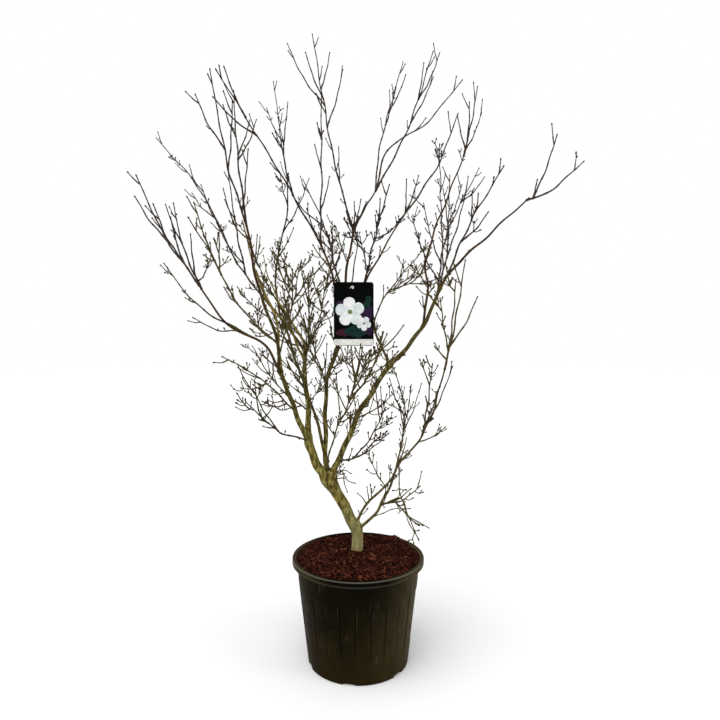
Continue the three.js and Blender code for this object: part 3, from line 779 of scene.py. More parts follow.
def waves(places: Array, size: float, seed: int) -> Array:
    """Sum some sines of seeded headings and phases, for soft lumps about `size` across.

    Args:
        places: rows of x, y and z.
        size: the lumps' own width.
        seed: picks the headings.

    Returns:
        A height for each place, mostly between -1 and 1.
    """
    random = np.random.default_rng(seed)
    headings = unit(random.normal(size=(WAVE_COUNT, 3))) * (math.pi / size)
    headings = headings * random.uniform(*WAVE_PACES, (WAVE_COUNT, 1))
    phases = random.uniform(0, 2 * math.pi, WAVE_COUNT)
    return np.sin(places @ headings.T + phases).mean(-1) * WAVE_GAIN


def turns(count: int) -> Array:
    """Give `count` even angles round a full turn, from 0 on."""
    return 2 * math.pi * np.arange(count) / count


def circle(count: int) -> Array:
    """Give `count` even places round a circle of radius 1, as rows of cosine and sine."""
    return np.stack([np.cos(turns(count)), np.sin(turns(count))], -1)


def tube_faces(rings: int, sides: int) -> tuple[Array, Array]:
    """Join each ring to the next, and the end rings to the two places after them all.

    Args:
        rings: how many rings there are.
        sides: how many places a ring has.

    Returns:
        The quads between rings, and the triangles that close the first and the last.
    """
    here, after = np.arange(sides), (np.arange(sides) + 1) % sides
    rows = (np.arange(rings - 1) * sides)[:, None]
    quads = np.stack([rows + here, rows + after, rows + sides + after, rows + sides + here], -1)
    last, end = (rings - 1) * sides, rings * sides
    first_fan = np.stack([np.full(sides, end), after, here], -1)
    last_fan = np.stack([np.full(sides, end + 1), last + here, last + after], -1)
    return quads.reshape(-1, 4), np.concatenate([first_fan, last_fan])


def ring_axes(paths: Array) -> tuple[Array, Array]:
    """Find two headings across each path at each of its places.

    The first is the path's heading crossed with the axis that the whole path keeps furthest from,
    and the second completes the pair.

    Args:
        paths: k paths of n places, as (k, n, 3).

    Returns:
        The two headings across, each as (k, n, 3).
    """
    heading = unit(np.gradient(paths, axis=1))
    furthest = np.argmin(np.abs(heading).max(axis=1), axis=1)
    across = unit(np.cross(heading, np.eye(3)[furthest][:, None, :]))
    return across, -np.cross(across, heading)


def carry_rings(paths: Array, radii: Array, sides: int, age: Array | float = 0.0,
                tones: Array | int = 0, point: float = 0.0) -> Surface:
    """Carry a ring along each path and close its ends, as k separate closed tubes.

    A ring's place is the path's own plus the radius times (cos a across + sin a behind). One place
    in the path's line closes each end, the last one `point` radii further on.

    Args:
        paths: k paths of n places, as (k, n, 3).
        radii: a radius for each place, (k, n), or for each corner of its ring, (k, n, sides).
        sides: how many corners a ring has.
        age: how young the bark is, for all or for each place.
        tones: the finish of each tube.
        point: how far the tip stands out, in radii.

    Returns:
        The tubes as one surface.
    """
    k, n, _ = paths.shape
    across, behind = ring_axes(paths)
    angles = turns(sides)
    ring = (np.cos(angles)[:, None] * across[:, :, None, :]
            + np.sin(angles)[:, None] * behind[:, :, None, :])
    radii = radii[..., None] if radii.ndim == 2 else radii
    skin = (paths[:, :, None, :] + radii[..., None] * ring).reshape(k, n * sides, 3)
    heading = unit(paths[:, -1] - paths[:, -2])
    tip = paths[:, -1] + heading * (point * radii[:, -1].mean(-1))[:, None]
    places = np.concatenate([skin, paths[:, :1], tip[:, None]], axis=1)
    quads, tris = tube_faces(n, sides)
    starts = np.arange(k)[:, None, None] * places.shape[1]
    ages = np.broadcast_to(age, (k, n))
    ages = np.concatenate([np.repeat(ages, sides, axis=1), ages[:, :1], ages[:, -1:]], axis=1)
    tones = np.broadcast_to(tones, (k,))
    return Surface(places.reshape(-1, 3), quads + starts, tris + starts, ages.ravel(),
                   np.repeat(tones, len(quads)), np.repeat(tones, len(tris)))


class Stick:
    """A visible length of wood: its limb's smooth way, wavering a little, and its taper."""

    ASLANT = (0.31, 0.83, 0.46)
    MOST_WAVER = 3.2
    WAVER_SHARE = 0.007
    LEAST_BENDS = 1.3
    BEND_LENGTH = 260.0
    RISE_PACE = 0.7
    PHASES = 6.28

    def __init__(self, limb: Limb, foot: Array | None, thick: float, thin: float) -> None:
        """Lay the stick along its limb.

        Args:
            limb: the limb of the source's rule.
            foot: where it leaves its carrier's own stick, if it has one.
            thick: its thickness at the foot.
            thin: its thickness at the tip.
        """
        places = limb.way.places.copy()
        if foot is not None:
            places[0] = foot
        self.limb, self.thick, self.thin = limb, thick, thin
        self.way = Way(places)
        self.length = self.way.length
        chord = unit(places[-1] - places[0])
        self._side = unit(np.cross(chord, self.ASLANT))
        self._rise = np.cross(chord, self._side)
        self._waver = min(self.MOST_WAVER, self.WAVER_SHARE * self.length)
        self._bends = self.LEAST_BENDS + self.length / self.BEND_LENGTH
        self._phase = float(places.sum() % self.PHASES)

    def at(self, shares: Array | float) -> Array:
        """Give places on the stick: the way's own, swung off it by slow sines that die at its ends.

        Args:
            shares: how far along, from 0 to 1.

        Returns:
            A row for each.
        """
        shares = np.atleast_1d(shares)
        swing = (self._waver * np.sin(math.pi * shares))[:, None]
        turn = (2 * math.pi * self._bends * shares + self._phase)[:, None]
        return (self.way.at(shares)
                + swing * (self._side * np.sin(turn) + self._rise * np.cos(self.RISE_PACE * turn)))

    def ahead(self, shares: Array | float) -> Array:
        """Give the headings at shares of the way."""
        shares = np.atleast_1d(shares)
        return unit(self.at(np.clip(shares + 0.01, 0, 1)) - self.at(np.clip(shares - 0.01, 0, 1)))

    def radius(self, shares: Array | float) -> Array:
        """Give half the thickness at shares of the way, by a steady taper."""
        return 0.5 * (self.thick + (self.thin - self.thick) * np.atleast_1d(shares))


@dataclass
class BarkedWood:
    """The trunk and its boughs, as tubes with the bark's relief in their meshes."""

    skeleton: Skeleton
    finishes: dict[Slot, Material]
    ring_spacing: float = 3.2
    stout_sides: int = 40
    slim_sides: int = 20
    collar_swell: float = 0.42
    node_spacing: float = 85.0
    node_width: float = 2.6
    node_swell: float = 0.05
    fork_swell: float = 0.75
    root_lobes: int = 4
    root_swell: float = 0.16
    root_reach: float = 20.0
    young_radius: float = 6.5
    young_height: float = 800.0
    sticks: dict[str, Stick] = field(default_factory=dict)

    def lay(self) -> None:
        """Lay a stick along the trunk and each bough, its foot on its carrier's own stick."""
        by_limb: dict[int, Stick] = {}
        for name, limb in self.skeleton.limbs.items():
            foot = by_limb[id(limb.carrier)].at(limb.share)[0] if limb.carrier else None
            stick = Stick(limb, foot, limb.thick, limb.thin)
            self.sticks[name] = by_limb[id(limb)] = stick

    def radii(self, name: str, shares: Array, angles: Array, path: Array) -> Array:
        """Work out how far the bark stands from the middle of the limb.

        The radius is the limb's taper times 1 + the collar at its foot, which fades by the share
        exp(-distance / reach), + lumps and ridges + a narrow ring at each old node, and it swells
        towards each limb that leaves it by a bell over length and the cosine of angle.

        Args:
            name: the limb.
            shares: where its rings stand.
            angles: where the corners of a ring stand.
            path: the rings' middles.

        Returns:
            A radius for each ring and corner.
        """
        stick = self.sticks[name]
        limb = stick.limb
        taper = limb.radius(shares)
        along = shares * stick.length
        if limb.carrier is not None:
            reach = 0.9 * limb.thick + 0.25 * limb.carrier.thick
            taper = taper * (1 + self.collar_swell * np.exp(-along / reach))
        across, behind = (axes[0] for axes in ring_axes(path[None]))
        ring = np.cos(angles)[:, None] * across[:, None] + np.sin(angles)[:, None] * behind[:, None]
        skin = path[:, None] + ring * taper[:, None, None]
        relief = sum(height * waves(skin * [1, 1, squash], size, seed)
                     for height, size, squash, seed in BARK_RELIEF)
        nodes = np.arange(0.6, stick.length / self.node_spacing) * self.node_spacing
        rings = np.exp(-((along[:, None] - nodes) / self.node_width) ** 2).sum(1)
        radii = taper[:, None] * (1 + relief + self.node_swell * rings[:, None])
        for child in self.sticks.values():
            if child.limb.carrier is limb:
                off = along - child.limb.share * stick.length
                out = child.ahead(0.02)[0]
                k = int(np.argmin(np.abs(off)))
                angle = math.atan2(out @ behind[k], out @ across[k])
                half = 0.5 * child.thick
                bell = np.exp(-((off - 0.8 * half) / (1.5 * half + 0.5 * taper)) ** 2)
                facing = np.clip(np.cos(angles - angle), 0, 1) ** 1.5
                radii += self.fork_swell * half * bell[:, None] * facing
        if limb.carrier is None:
            lobes = 0.5 + 0.5 * np.sin(self.root_lobes * angles + 0.7)
            radii *= 1 + self.root_swell * np.exp(-along / self.root_reach)[:, None] * lobes
        return radii

    def surface(self, name: str) -> Surface:
        """Build a limb's skin, its bark younger where it is thin and where it is high.

        Args:
            name: the limb.

        Returns:
            The closed skin.
        """
        stick = self.sticks[name]
        sides = self.stout_sides if stick.limb.thick > STOUT_THICK else self.slim_sides
        shares = np.linspace(0, 1, math.ceil(stick.length / self.ring_spacing))
        path = stick.at(shares)
        radii = self.radii(name, shares, turns(sides), path)
        height = np.clip((path[:, 2] - self.young_height) / 700, 0, 1)
        age = np.clip((self.young_radius - radii.mean(1)) / 7, 0, 0.6) + 0.6 * height
        return carry_rings(path[None], radii[None], sides, age[None], point=0.4)

    def build(self) -> None:
        """Make one piece of the stout limbs and one of the slim ones."""
        stout = [name for name, stick in self.sticks.items() if stick.limb.thick > STOUT_THICK]
        slim = [name for name in self.sticks if name not in stout]
        for title, slot, names in (("stout_limbs", Slot.OLIVE, stout), ("slim_boughs", Slot.BROWN, slim)):
            skin = Surface.join([self.surface(name) for name in names])
            skin.piece(title, slot, [self.finishes[slot]], names)


@dataclass
class Lot:
    """Arrays with a row for each of many like things, which are kept and joined together."""

    def keep(self, chosen: Array) -> Self:
        """Keep the chosen rows."""
        return type(self)(*(getattr(self, part.name)[chosen] for part in fields(self)))

    @classmethod
    def join(cls, lots: Sequence[Self]) -> Self:
        """Put several lots one after another."""
        return cls(*(np.concatenate([getattr(lot, part.name) for lot in lots]) for part in fields(cls)))


@dataclass
class Nodes(Lot):
    """Places on limbs that shoots may leave, with the limbs' headings, sprays and radii there."""

    feet: Array
    ahead: Array
    side: Array
    spray: Array
    radius: Array


@dataclass
class Shoots(Lot):
    """Many straight or bent little tubes of one kind, worked out together."""

    feet: Array
    elbows: Array
    tips: Array
    foot_radius: Array
    tip_radius: Array
    spray: Array

    @property
    def ahead(self) -> Array:
        """Give the headings of the tips."""
        return unit(self.tips - self.elbows)

    def paths(self, rings: int) -> Array:
        """Bend each way from foot to tip round its elbow, as a quadratic with that middle place.

        Args:
            rings: how many places each path has.

        Returns:
            The paths, as (k, rings, 3).
        """
        t = np.linspace(0, 1, rings)[None, :, None]
        handle = 2 * self.elbows - 0.5 * (self.feet + self.tips)
        return ((1 - t) ** 2 * self.feet[:, None] + 2 * t * (1 - t) * handle[:, None]
                + t ** 2 * self.tips[:, None])

    def surface(self, rings: int, sides: int, tones: Array) -> Surface:
        """Carry rings along the ways, from the foot's radius to the tip's.

        Args:
            rings: how many rings each has.
            sides: how many corners a ring has.
            tones: the finish of each spray.

        Returns:
            The shoots' closed skins.
        """
        t = np.linspace(0, 1, rings)[None]
        radii = self.foot_radius[:, None] * (1 - t) + self.tip_radius[:, None] * t
        return carry_rings(self.paths(rings), radii, sides, 1.0, tones[self.spray], 0.6)


@dataclass
class Crown:
    """The sprays: stems, shoots and twigs by the source's rule, then spurs and buds on them."""

    skeleton: Skeleton
    wood: BarkedWood
    bark: list[Material]
    scales: list[Material]
    olive_under: float = 1300.0
    stem_thick: float = 7.2
    shoot_thick: float = 6.0
    tip_thick: float = 3.5
    twig_thick: float = 4.5
    twig_tip: float = 3.1
    smooth_thick: float = 8.5
    bearing_thick: float = 24.0
    ring_spacing: float = 8.0
    foot_swell: float = 0.45
    foot_reach: float = 7.0
    knuckle_spacing: float = 48.0
    knuckle_swell: float = 0.32
    knuckle_width: float = 5.0
    branch_spacing: float = 36.0
    branch_room: float = 38.0
    branch_thick: float = 5.4
    branch_tip: float = 3.6
    branch_length: Pair = (55.0, 180.0)
    branch_lean: Pair = (0.3, 0.75)
    branch_lift: float = 0.35
    spur_spacing: float = 34.0
    spur_shares: tuple[float, ...] = (0.3, 0.52, 0.74, 0.93)
    spur_room: float = 23.0
    spur_thick: float = 4.0
    spur_tip: float = 3.2
    spur_lean: Pair = (0.5, 0.95)
    spur_lift: float = 0.6
    spur_success: float = 0.85
    fork_least: float = 20.0
    fork_length: Pair = (10.0, 22.0)
    fork_lean: Pair = (0.45, 0.85)
    fork_lift: float = 0.45
    pot_clear: float = 25.0
    box_clear: float = 4.0
    bud_length: float = 9.5
    bud_radius: float = 3.0
    sticks: list[Stick] = field(default_factory=list)

    def tones(self) -> Array:
        """Deal a tone of bark to each spray, then to the smooth shoots and to spurs on boughs.

        The tones are brown ones, then two olive ones, then a golden one. A spray is olive where it
        leaves its bough low in the crown, and brown higher up.

        Returns:
            A tone's number for each.
        """
        feet = np.array([stems[0].spine[0, 2] for stems in self.skeleton.stems])
        order = np.arange(len(feet))
        browns = len(self.bark) - 3
        tones = np.where(feet < self.olive_under, browns + order % 2, order % browns)
        return np.array([*tones, browns + 2, browns + 1])

    def lay(self) -> None:
        """Lay a stick along every stem, shoot and twig, its foot on its carrier's stick."""
        by_limb = {id(stick.limb): stick for stick in self.wood.sticks.values()}
        kinds = []
        for stems, twigs in zip(self.skeleton.stems, self.skeleton.twigs):
            kinds.append((stems[0], self.stem_thick, self.tip_thick))
            kinds += [(stem, self.shoot_thick, self.tip_thick) for stem in stems[1:]]
            kinds += [(twig, self.twig_thick, self.twig_tip) for twig in twigs]
        for carrier, share, thick, *places in SLENDER:
            limb = self.skeleton.limbs[carrier]
            way = [limb.place(share), *seen(places)]
            spray = SMOOTH_SHOOTS if thick > self.smooth_thick else ON_BOUGHS
            shoot = Limb(spray, way, thick, self.twig_tip, BOUGH_STRETCH, limb, share)
            kinds.append((shoot, thick, self.twig_tip))
        for limb, thick, thin in kinds:
            foot = by_limb[id(limb.carrier)].at(limb.share)[0]
            stick = by_limb[id(limb)] = Stick(limb, foot, thick, thin)
            self.sticks.append(stick)

    def stem_surface(self, tones: Array) -> Surface:
        """Carry hexagons along the sticks.

        The radius is the taper times 1 + a swelling that fades from the foot + a bell at each
        knuckle, half way between the multiples of knuckle_spacing.

        Args:
            tones: the finish of each spray.

        Returns:
            The sticks' closed skins.
        """
        parts = []
        for stick in self.sticks:
            shares = np.linspace(0, 1, max(5, math.ceil(stick.length / self.ring_spacing)))
            along = shares * stick.length
            off = np.abs(along % self.knuckle_spacing - self.knuckle_spacing / 2)
            swell = (1 + self.foot_swell * np.exp(-along / self.foot_reach)
                     + self.knuckle_swell * np.exp(-(off / self.knuckle_width) ** 2))
            radii = stick.radius(shares) * swell
            parts.append(carry_rings(stick.at(shares)[None], radii[None], 6, 1.0,
                                     tones[stick.limb.spray], 0.7))
        return Surface.join(parts)

    @staticmethod
    def crowding(places: Array) -> Array:
        """Say how thickly twigs stand: the highest of the thickets' bells over right and up.

        Args:
            places: rows of x, y and z.

        Returns:
            A share for each, up to 1.
        """
        right, up = places[..., 0], places[..., 2]
        return np.max([density * np.exp(-((right - middle) ** 2 + (up - height) ** 2) / reach ** 2)
                       for middle, height, reach, density in THICKETS], axis=0)

    def nodes(self, spacing: float, random: np.random.Generator) -> Nodes:
        """Space nodes along what bears twigs, each a quarter turn on.

        The smooth stout shoots bear none, and the boughs do up to bearing_thick.

        Args:
            spacing: how far apart the nodes are.
            random: the seeded run of numbers.

        Returns:
            The nodes.
        """
        bearing = [stick for stick in self.sticks if stick.limb.thick < self.smooth_thick]
        bearing += [stick for stick in self.wood.sticks.values() if stick.limb.thick <= self.bearing_thick]
        lots = []
        for stick in bearing:
            along = np.arange(0.6 * spacing, stick.length - 6, spacing)
            count = len(along)
            if not count:
                continue
            shares = (along + random.uniform(-0.2, 0.2, count) * spacing) / stick.length
            shares = np.clip(shares, 0.02, 0.97)
            side = random.uniform(0, math.pi) + math.pi / 2 * np.arange(count)
            lots.append(Nodes(stick.at(shares), stick.ahead(shares), side,
                              np.full(count, stick.limb.spray), stick.radius(shares)))
        return Nodes.join(lots)

    @staticmethod
    def grown(nodes: Nodes, lean: Array, length: Array, lift: float, thick: Pair) -> Shoots:
        """Grow a shoot from each node: straight out at its lean, then lifted half way.

        Its foot is moved out from the limb's middle by most of the limb's radius.

        Args:
            nodes: where the shoots leave.
            lean: the angles between the limbs' headings and theirs.
            length: their lengths.
            lift: how strongly the second half turns up.
            thick: their thickness at foot and tip.

        Returns:
            The shoots.
        """
        across = unit(np.cross([0.0, 1.0, 0.0], nodes.ahead))
        behind = np.cross(nodes.ahead, across)
        out = across * np.cos(nodes.side)[:, None] + behind * np.sin(nodes.side)[:, None]
        feet = nodes.feet + out * (0.75 * np.maximum(nodes.radius - 2, 0))[:, None]
        heading = nodes.ahead * np.cos(lean)[:, None] + out * np.sin(lean)[:, None]
        elbows = feet + heading * 0.5 * length[:, None]
        tips = elbows + unit(heading + [0, 0, lift]) * 0.5 * length[:, None]
        radii = (np.full(len(feet), part / 2) for part in thick)
        return Shoots(feet, elbows, tips, *radii, nodes.spray)

    @staticmethod
    def with_room(feet: Array, chances: Array, cell: float, room: int) -> Array:
        """Choose which shoots may grow, so that no cell of the photo's plane is overfull.

        Each cell's shoots are ranked by their chance, and the first few stay.

        Args:
            feet: where the shoots leave.
            chances: how much each is wanted, 0 for never.
            cell: the width of a square cell over right and up.
            room: how many a cell has room for.

        Returns:
            True for the ones that may grow.
        """
        columns, rows = np.floor(feet[:, 0] / cell), np.floor(feet[:, 2] / cell)
        keys = (columns * 4096 + rows).astype(int)
        order = np.lexsort((-chances, keys))
        ranked = keys[order]
        starts = np.concatenate([[True], ranked[1:] != ranked[:-1]])
        place = np.arange(len(ranked))
        rank = place - np.maximum.accumulate(np.where(starts, place, 0))
        stays = np.zeros(len(feet), bool)
        stays[order] = rank < room
        return stays & (chances > 0)

    def branches(self, random: np.random.Generator) -> Shoots:
        """Grow the thickets' longer shoots, longer and likelier where it is more crowded.

        Args:
            random: the seeded run of numbers.

        Returns:
            The shoots that keep clear.
        """
        nodes = self.nodes(self.branch_spacing, random)
        count = len(nodes.feet)
        crowd = self.crowding(nodes.feet)
        length = random.uniform(*self.branch_length, count) * (0.4 + 0.6 * crowd)
        lean = random.uniform(*self.branch_lean, count)
        shoots = self.grown(nodes, lean, length, self.branch_lift, (self.branch_thick, self.branch_tip))
        luck = random.uniform(size=count)
        chances = np.where(luck < 1.7 * (crowd - 0.4), crowd + luck, 0)
        return self._clear(shoots.keep(self.with_room(nodes.feet, chances, self.branch_room, 2)))

    def spurs(self, branches: Shoots, random: np.random.Generator) -> Shoots:
        """Grow short spurs in opposite pairs on every stick, slim bough and branch.

        They are likelier and longer where it is more crowded, and a pair grows only where its cell of
        the photo's plane has room for it.

        Args:
            branches: the thickets' longer shoots.
            random: the seeded run of numbers.

        Returns:
            The spurs that keep clear.
        """
        lots = [self.nodes(self.spur_spacing, random)]
        steps = 14
        path = branches.paths(steps + 1)
        for share in self.spur_shares:
            k = round(share * steps)
            lots.append(Nodes(path[:, k], unit(path[:, k] - path[:, k - 1]),
                              random.uniform(0, 2 * math.pi, len(path)), branches.spray,
                              np.full(len(path), self.branch_tip / 2)))
        nodes = Nodes.join(lots)
        crowd = self.crowding(nodes.feet)
        luck = random.uniform(size=len(crowd))
        chances = np.where(luck < 0.05 + 0.9 * crowd, crowd + luck, 0)
        nodes = nodes.keep(self.with_room(nodes.feet, chances, self.spur_room, 1))
        nodes = Nodes.join([nodes, replace(nodes, side=nodes.side + math.pi)])
        crowd = self.crowding(nodes.feet)
        count = len(crowd)
        lean = random.uniform(*self.spur_lean, count)
        length = np.clip(random.gamma(2.6, 9.0, count) + 10, 10, 60) * (0.5 + 0.5 * crowd)
        spurs = self.grown(nodes, lean, length, self.spur_lift, (self.spur_thick, self.spur_tip))
        return self._clear(spurs.keep(random.uniform(size=count) < self.spur_success))

    def forks(self, spurs: Shoots, random: np.random.Generator) -> Shoots:
        """Fork some of the longer spurs, at the tip or the elbow, into two branchlets.

        Args:
            spurs: the spurs.
            random: the seeded run of numbers.

        Returns:
            The branchlets that keep clear.
        """
        length = np.linalg.norm(spurs.tips - spurs.feet, axis=1)
        lots = []
        for places, share in ((spurs.tips, 0.35), (spurs.elbows, 0.25)):
            chosen = (random.uniform(size=len(length)) < share) & (length > self.fork_least)
            feet, ahead = places[chosen], spurs.ahead[chosen]
            count = len(feet)
            across = unit(np.cross(ahead, random.normal(size=(count, 3))))
            radii = (np.full(count, self.spur_tip / 2), np.full(count, self.spur_tip / 2 * 0.85))
            for sign in (1, -1):
                lean = random.uniform(*self.fork_lean, (count, 1)) * sign
                heading = ahead * np.cos(lean) + across * np.sin(lean)
                size = random.uniform(*self.fork_length, (count, 1))
                elbows = feet + heading * 0.5 * size
                tips = elbows + unit(heading + [0, 0, self.fork_lift]) * 0.5 * size
                lots.append(Shoots(feet, elbows, tips, *radii, spurs.spray[chosen]))
        return self._clear(Shoots.join(lots))

    def _clear(self, shoots: Shoots) -> Shoots:
        """Drop what comes near the card or the pot, before the card, or out of the solids' own box.

        Args:
            shoots: the shoots.

        Returns:
            The ones that stay.
        """
        low, high = (np.array(corner) / MM for corner in cad_box)
        places = shoots.paths(7)
        inside = ((places > low + self.box_clear) & (places < high - self.box_clear)).all((1, 2))
        over_pot = (places[..., 2] > POT_HEIGHT + self.pot_clear).all(1)
        covers = (self.skeleton.near_card(places) | self.skeleton.hides_card(places)).any(1)
        return shoots.keep(inside & over_pot & ~covers)

    def buds(self, places: Array, ahead: Array, size: Array, tones: Array) -> Surface:
        """Stand a pointed bud on each place: rings whose radius follows an egg's outline.

        Args:
            places: the buds' feet.
            ahead: their headings.
            size: how large each is, 1 being bud_length long.
            tones: the finish of each.

        Returns:
            The buds.
        """
        shares = np.array([0.0, 0.3, 0.62, 0.88])
        outline = np.array([0.62, 1.0, 0.82, 0.34])
        length = (self.bud_length * size)[:, None, None]
        paths = places[:, None] + ahead[:, None] * shares[None, :, None] * length
        return carry_rings(paths, self.bud_radius * size[:, None] * outline, 5, 1.0, tones, 1.6)

    def build(self) -> None:
        """Make the stems, the thickets' shoots, the spurs and the buds, each kind one piece."""
        random = np.random.default_rng(11)
        tones = self.tones()
        self.stem_surface(tones).piece("spray_stems", Slot.TWIG, self.bark, list(SPRAYS))
        branches = self.branches(random)
        spurs = self.spurs(branches, random)
        forks = self.forks(spurs, random)
        branches.surface(9, 6, tones).piece("thicket_branches", Slot.TWIG, self.bark)
        twigs = Surface.join([spurs.surface(5, 5, tones), forks.surface(4, 5, tones)])
        twigs.piece("spur_twigs", Slot.TWIG, self.bark)
        ends = [(stick.at(1.0)[0], stick.ahead(1.0)[0], stick.limb.spray) for stick in self.sticks]
        places, ahead, spray = (np.array(part) for part in zip(*ends))
        lots = (branches, spurs, forks)
        places = np.concatenate([places, *(lot.tips for lot in lots)])
        ahead = np.concatenate([ahead, *(lot.ahead for lot in lots)])
        spray = np.concatenate([spray, *(lot.spray for lot in lots)])
        size = np.concatenate([np.full(len(ends), 0.95), *(
            random.uniform(*sizes, len(lot.tips)) for lot, sizes in zip(lots, BUD_SIZES))])
        self.buds(places, ahead, size, tones[spray]).piece("twig_buds", Slot.TWIG, self.scales)
        LOG.info("crown: %d sticks, %d branches, %d spurs, %d branchlets", len(self.sticks),
                 *(len(lot.tips) for lot in lots))


def turned(outline: Array) -> Surface:
    """Turn a closed outline round +Z, its first and last places lying on the axis.

    Args:
        outline: rings from one end to the other, each place a radius and a height.

    Returns:
        A closed surface, which faces out if the outline starts underneath.
    """
    rings = outline[1:-1]
    count, sides, _ = rings.shape
    angles = turns(sides)
    places = np.stack([rings[..., 0] * np.cos(angles), rings[..., 0] * np.sin(angles), rings[..., 1]], -1)
    poles = np.array([[0, 0, outline[0, 0, 1]], [0, 0, outline[-1, 0, 1]]])
    return Surface(np.concatenate([places.reshape(-1, 3), poles]), *tube_faces(count, sides))


def smooth_step(low: float, high: float, values: Array) -> Array:
    """Rise from 0 at low to 1 at high, level at both ends."""
    t = np.clip((values - low) / (high - low), 0, 1)
    return t * t * (3 - 2 * t)


def bell(values: Array, middle: float, width: float) -> Array:
    """Rise to 1 at the middle and fall off on both sides, as exp(-(distance / width) squared)."""
    return np.exp(-((values - middle) / width) ** 2)


@dataclass
class Pot:
    """The nursery pot: one turned wall with sunken panels and notches in its foot."""

    finish: Material
    sides: int = 720
    panel_count: int = 12
    panel_width: float = 60.0
    panel_foot: float = 80.0
    panel_top: float = 284.0
    panel_depth: float = 2.2
    notch_count: int = 6
    notch_width: float = 40.0
    notch_height: float = 13.0
    notch_depth: float = 24.0
    # How bright the painted highlights along the rim's band and the panels' sides are, and how deep the
    # painted shade in the panels' corners
    rim_band_highlight: float = 0.35
    panel_side_highlight: float = 0.26
    panel_corner_shade: float = 0.8

    @staticmethod
    def wall(heights: Array | float) -> Array | float:
        """Give the wall's radius, which grows in a straight line from the foot to the collar."""
        return FOOT_RADIUS + (COLLAR_RADIUS - FOOT_RADIUS) * heights / COLLAR_FOOT

    @staticmethod
    def off_turn(angles: Array, count: int) -> Array:
        """Give how far each angle is from the nearest of `count` even angles, in radians."""
        pitch = 2 * math.pi / count
        return np.abs((angles - POT_TURN + pitch / 2) % pitch - pitch / 2)

    def off_panel(self, angles: Array) -> Array:
        """Give how far each angle is outside the nearest panel's side, in radians."""
        half = self.panel_width / 2 / self.wall((self.panel_foot + self.panel_top) / 2)
        return self.off_turn(angles, self.panel_count) - half

    def outline(self, angles: Array) -> Array:
        """Work out the wall's outline at each angle.

        Between foot and collar the radius loses the panel's depth inside a rectangle of angle and
        height, and where a notch is, the foot's corner is drawn in.

        Args:
            angles: where a ring's places stand.

        Returns:
            Rings of radius and height, from under the pot up its wall, over the rim and back in.
        """
        heights = np.concatenate([np.linspace(16, 72, 6), np.linspace(76, 100, 7),
                                  np.linspace(112, 276, 16), [280, 282.4, 283.6, 284.8, 287, 296, 306]])
        across = 1 - smooth_step(-0.002, 0.008, self.off_panel(angles))
        up = smooth_step(self.panel_foot - 6, self.panel_foot + 16, heights)
        up -= smooth_step(self.panel_top - 1.7, self.panel_top + 0.9, heights)
        wall = self.wall(heights)[:, None] - self.panel_depth * up[:, None] * across
        off_notch = self.off_turn(angles, self.notch_count) - self.notch_width / 2 / FOOT_RADIUS
        notch = 1 - smooth_step(0, 0.012, off_notch)
        foot, inner, roof = FOOT_RADIUS, FOOT_RADIUS - self.notch_depth, self.notch_height
        plain = np.array([[-34, 0], [-25, 0], [-22, 0], [-12, 0], [-2.4, 0], [-0.7, 0.7], [0, 2.4],
                          [1.8, 13.6]]) + [foot, 0]
        cut = np.array([[foot - 34, 0], [inner - 0.5, 0], [inner, 0.5], [inner, 5.5],
                        [inner, roof - 0.4], [inner + 8, roof], [foot + 1.0, roof], [foot + 1.8, 13.8]])
        corner = plain[:, None] * (1 - notch)[:, None] + cut[:, None] * notch[:, None]
        body = np.stack([wall, np.repeat(heights[:, None], len(angles), 1)], -1)
        collar, rim, band, top = COLLAR_RADIUS, RIM_RADIUS, POT_HEIGHT - RIM_BAND, POT_HEIGHT
        upper = np.array([
            [collar, COLLAR_FOOT], [collar + 1.2, 334], [collar + 2.2, 354], [collar + 3, band],
            [rim - 6, band + 0.4], [rim - 2.0, band + 0.9], [rim - 0.4, band + 2.2],
            [rim - 0.2, band + 4], [rim - 1.2, band + 6], [rim - 1.2, top - 7], [rim, top - 5.2],
            [rim, top - 3.6], [rim - 0.9, top - 1.4], [rim - 3, top], [MOUTH_RADIUS + 6, top - 0.6],
            [MOUTH_RADIUS + 2, top - 1.6], [MOUTH_RADIUS, top - 5], [collar - WALL_THICK, band],
            [collar - WALL_THICK, COLLAR_FOOT], [foot - WALL_THICK, WALL_THICK], [0, WALL_THICK]])
        upper = np.repeat(upper[:, None], len(angles), axis=1)
        return np.concatenate([np.zeros((1, len(angles), 2)), corner, body, upper])

    def painted_light(self, outline: Array, angles: Array) -> Array:
        """Work out how pale each place is: painted highlights on the rim's edges and the panels' sides.

        Each painted highlight is a bell over height, or over the distance round from a panel's side, and
        the highest counts. Soft lumps fade the bells round the panels. Just inside a panel's side another
        bell is taken off, as painted shade in the panel's corner.

        Args:
            outline: rows of rings, each place a radius and a height.
            angles: where a ring's places stand.

        Returns:
            A number for each place, from -1 for the deepest painted shade to 1 for the brightest painted
            highlight.
        """
        radius, height = outline[..., 0], outline[..., 1]
        outside = radius > self.wall(np.minimum(height, COLLAR_FOOT)) - 3
        # Painted highlights: a line along the rim's lip, one along the foot of its band, and lines beside the
        # panels
        lip = bell(height, POT_HEIGHT - 1.8, 1.7) * (radius > RIM_RADIUS - 2)
        band = self.rim_band_highlight * bell(height, POT_HEIGHT - RIM_BAND + 2, 2.2)
        along = smooth_step(self.panel_foot - 6, self.panel_foot + 40, height) * (height < self.panel_top)
        lumps = np.stack([radius * np.cos(angles), radius * np.sin(angles), height], -1)
        off_side = self.off_panel(angles)
        side = self.panel_side_highlight * bell(off_side, 0.008, 0.006) * along
        side = side * np.clip(0.5 + waves(lumps, 60, 41), 0, 1)
        # Painted shade just inside each panel's side
        corner = self.panel_corner_shade * bell(off_side, -0.012, 0.012) * along
        return np.max([lip, band, side], axis=0) * outside - corner

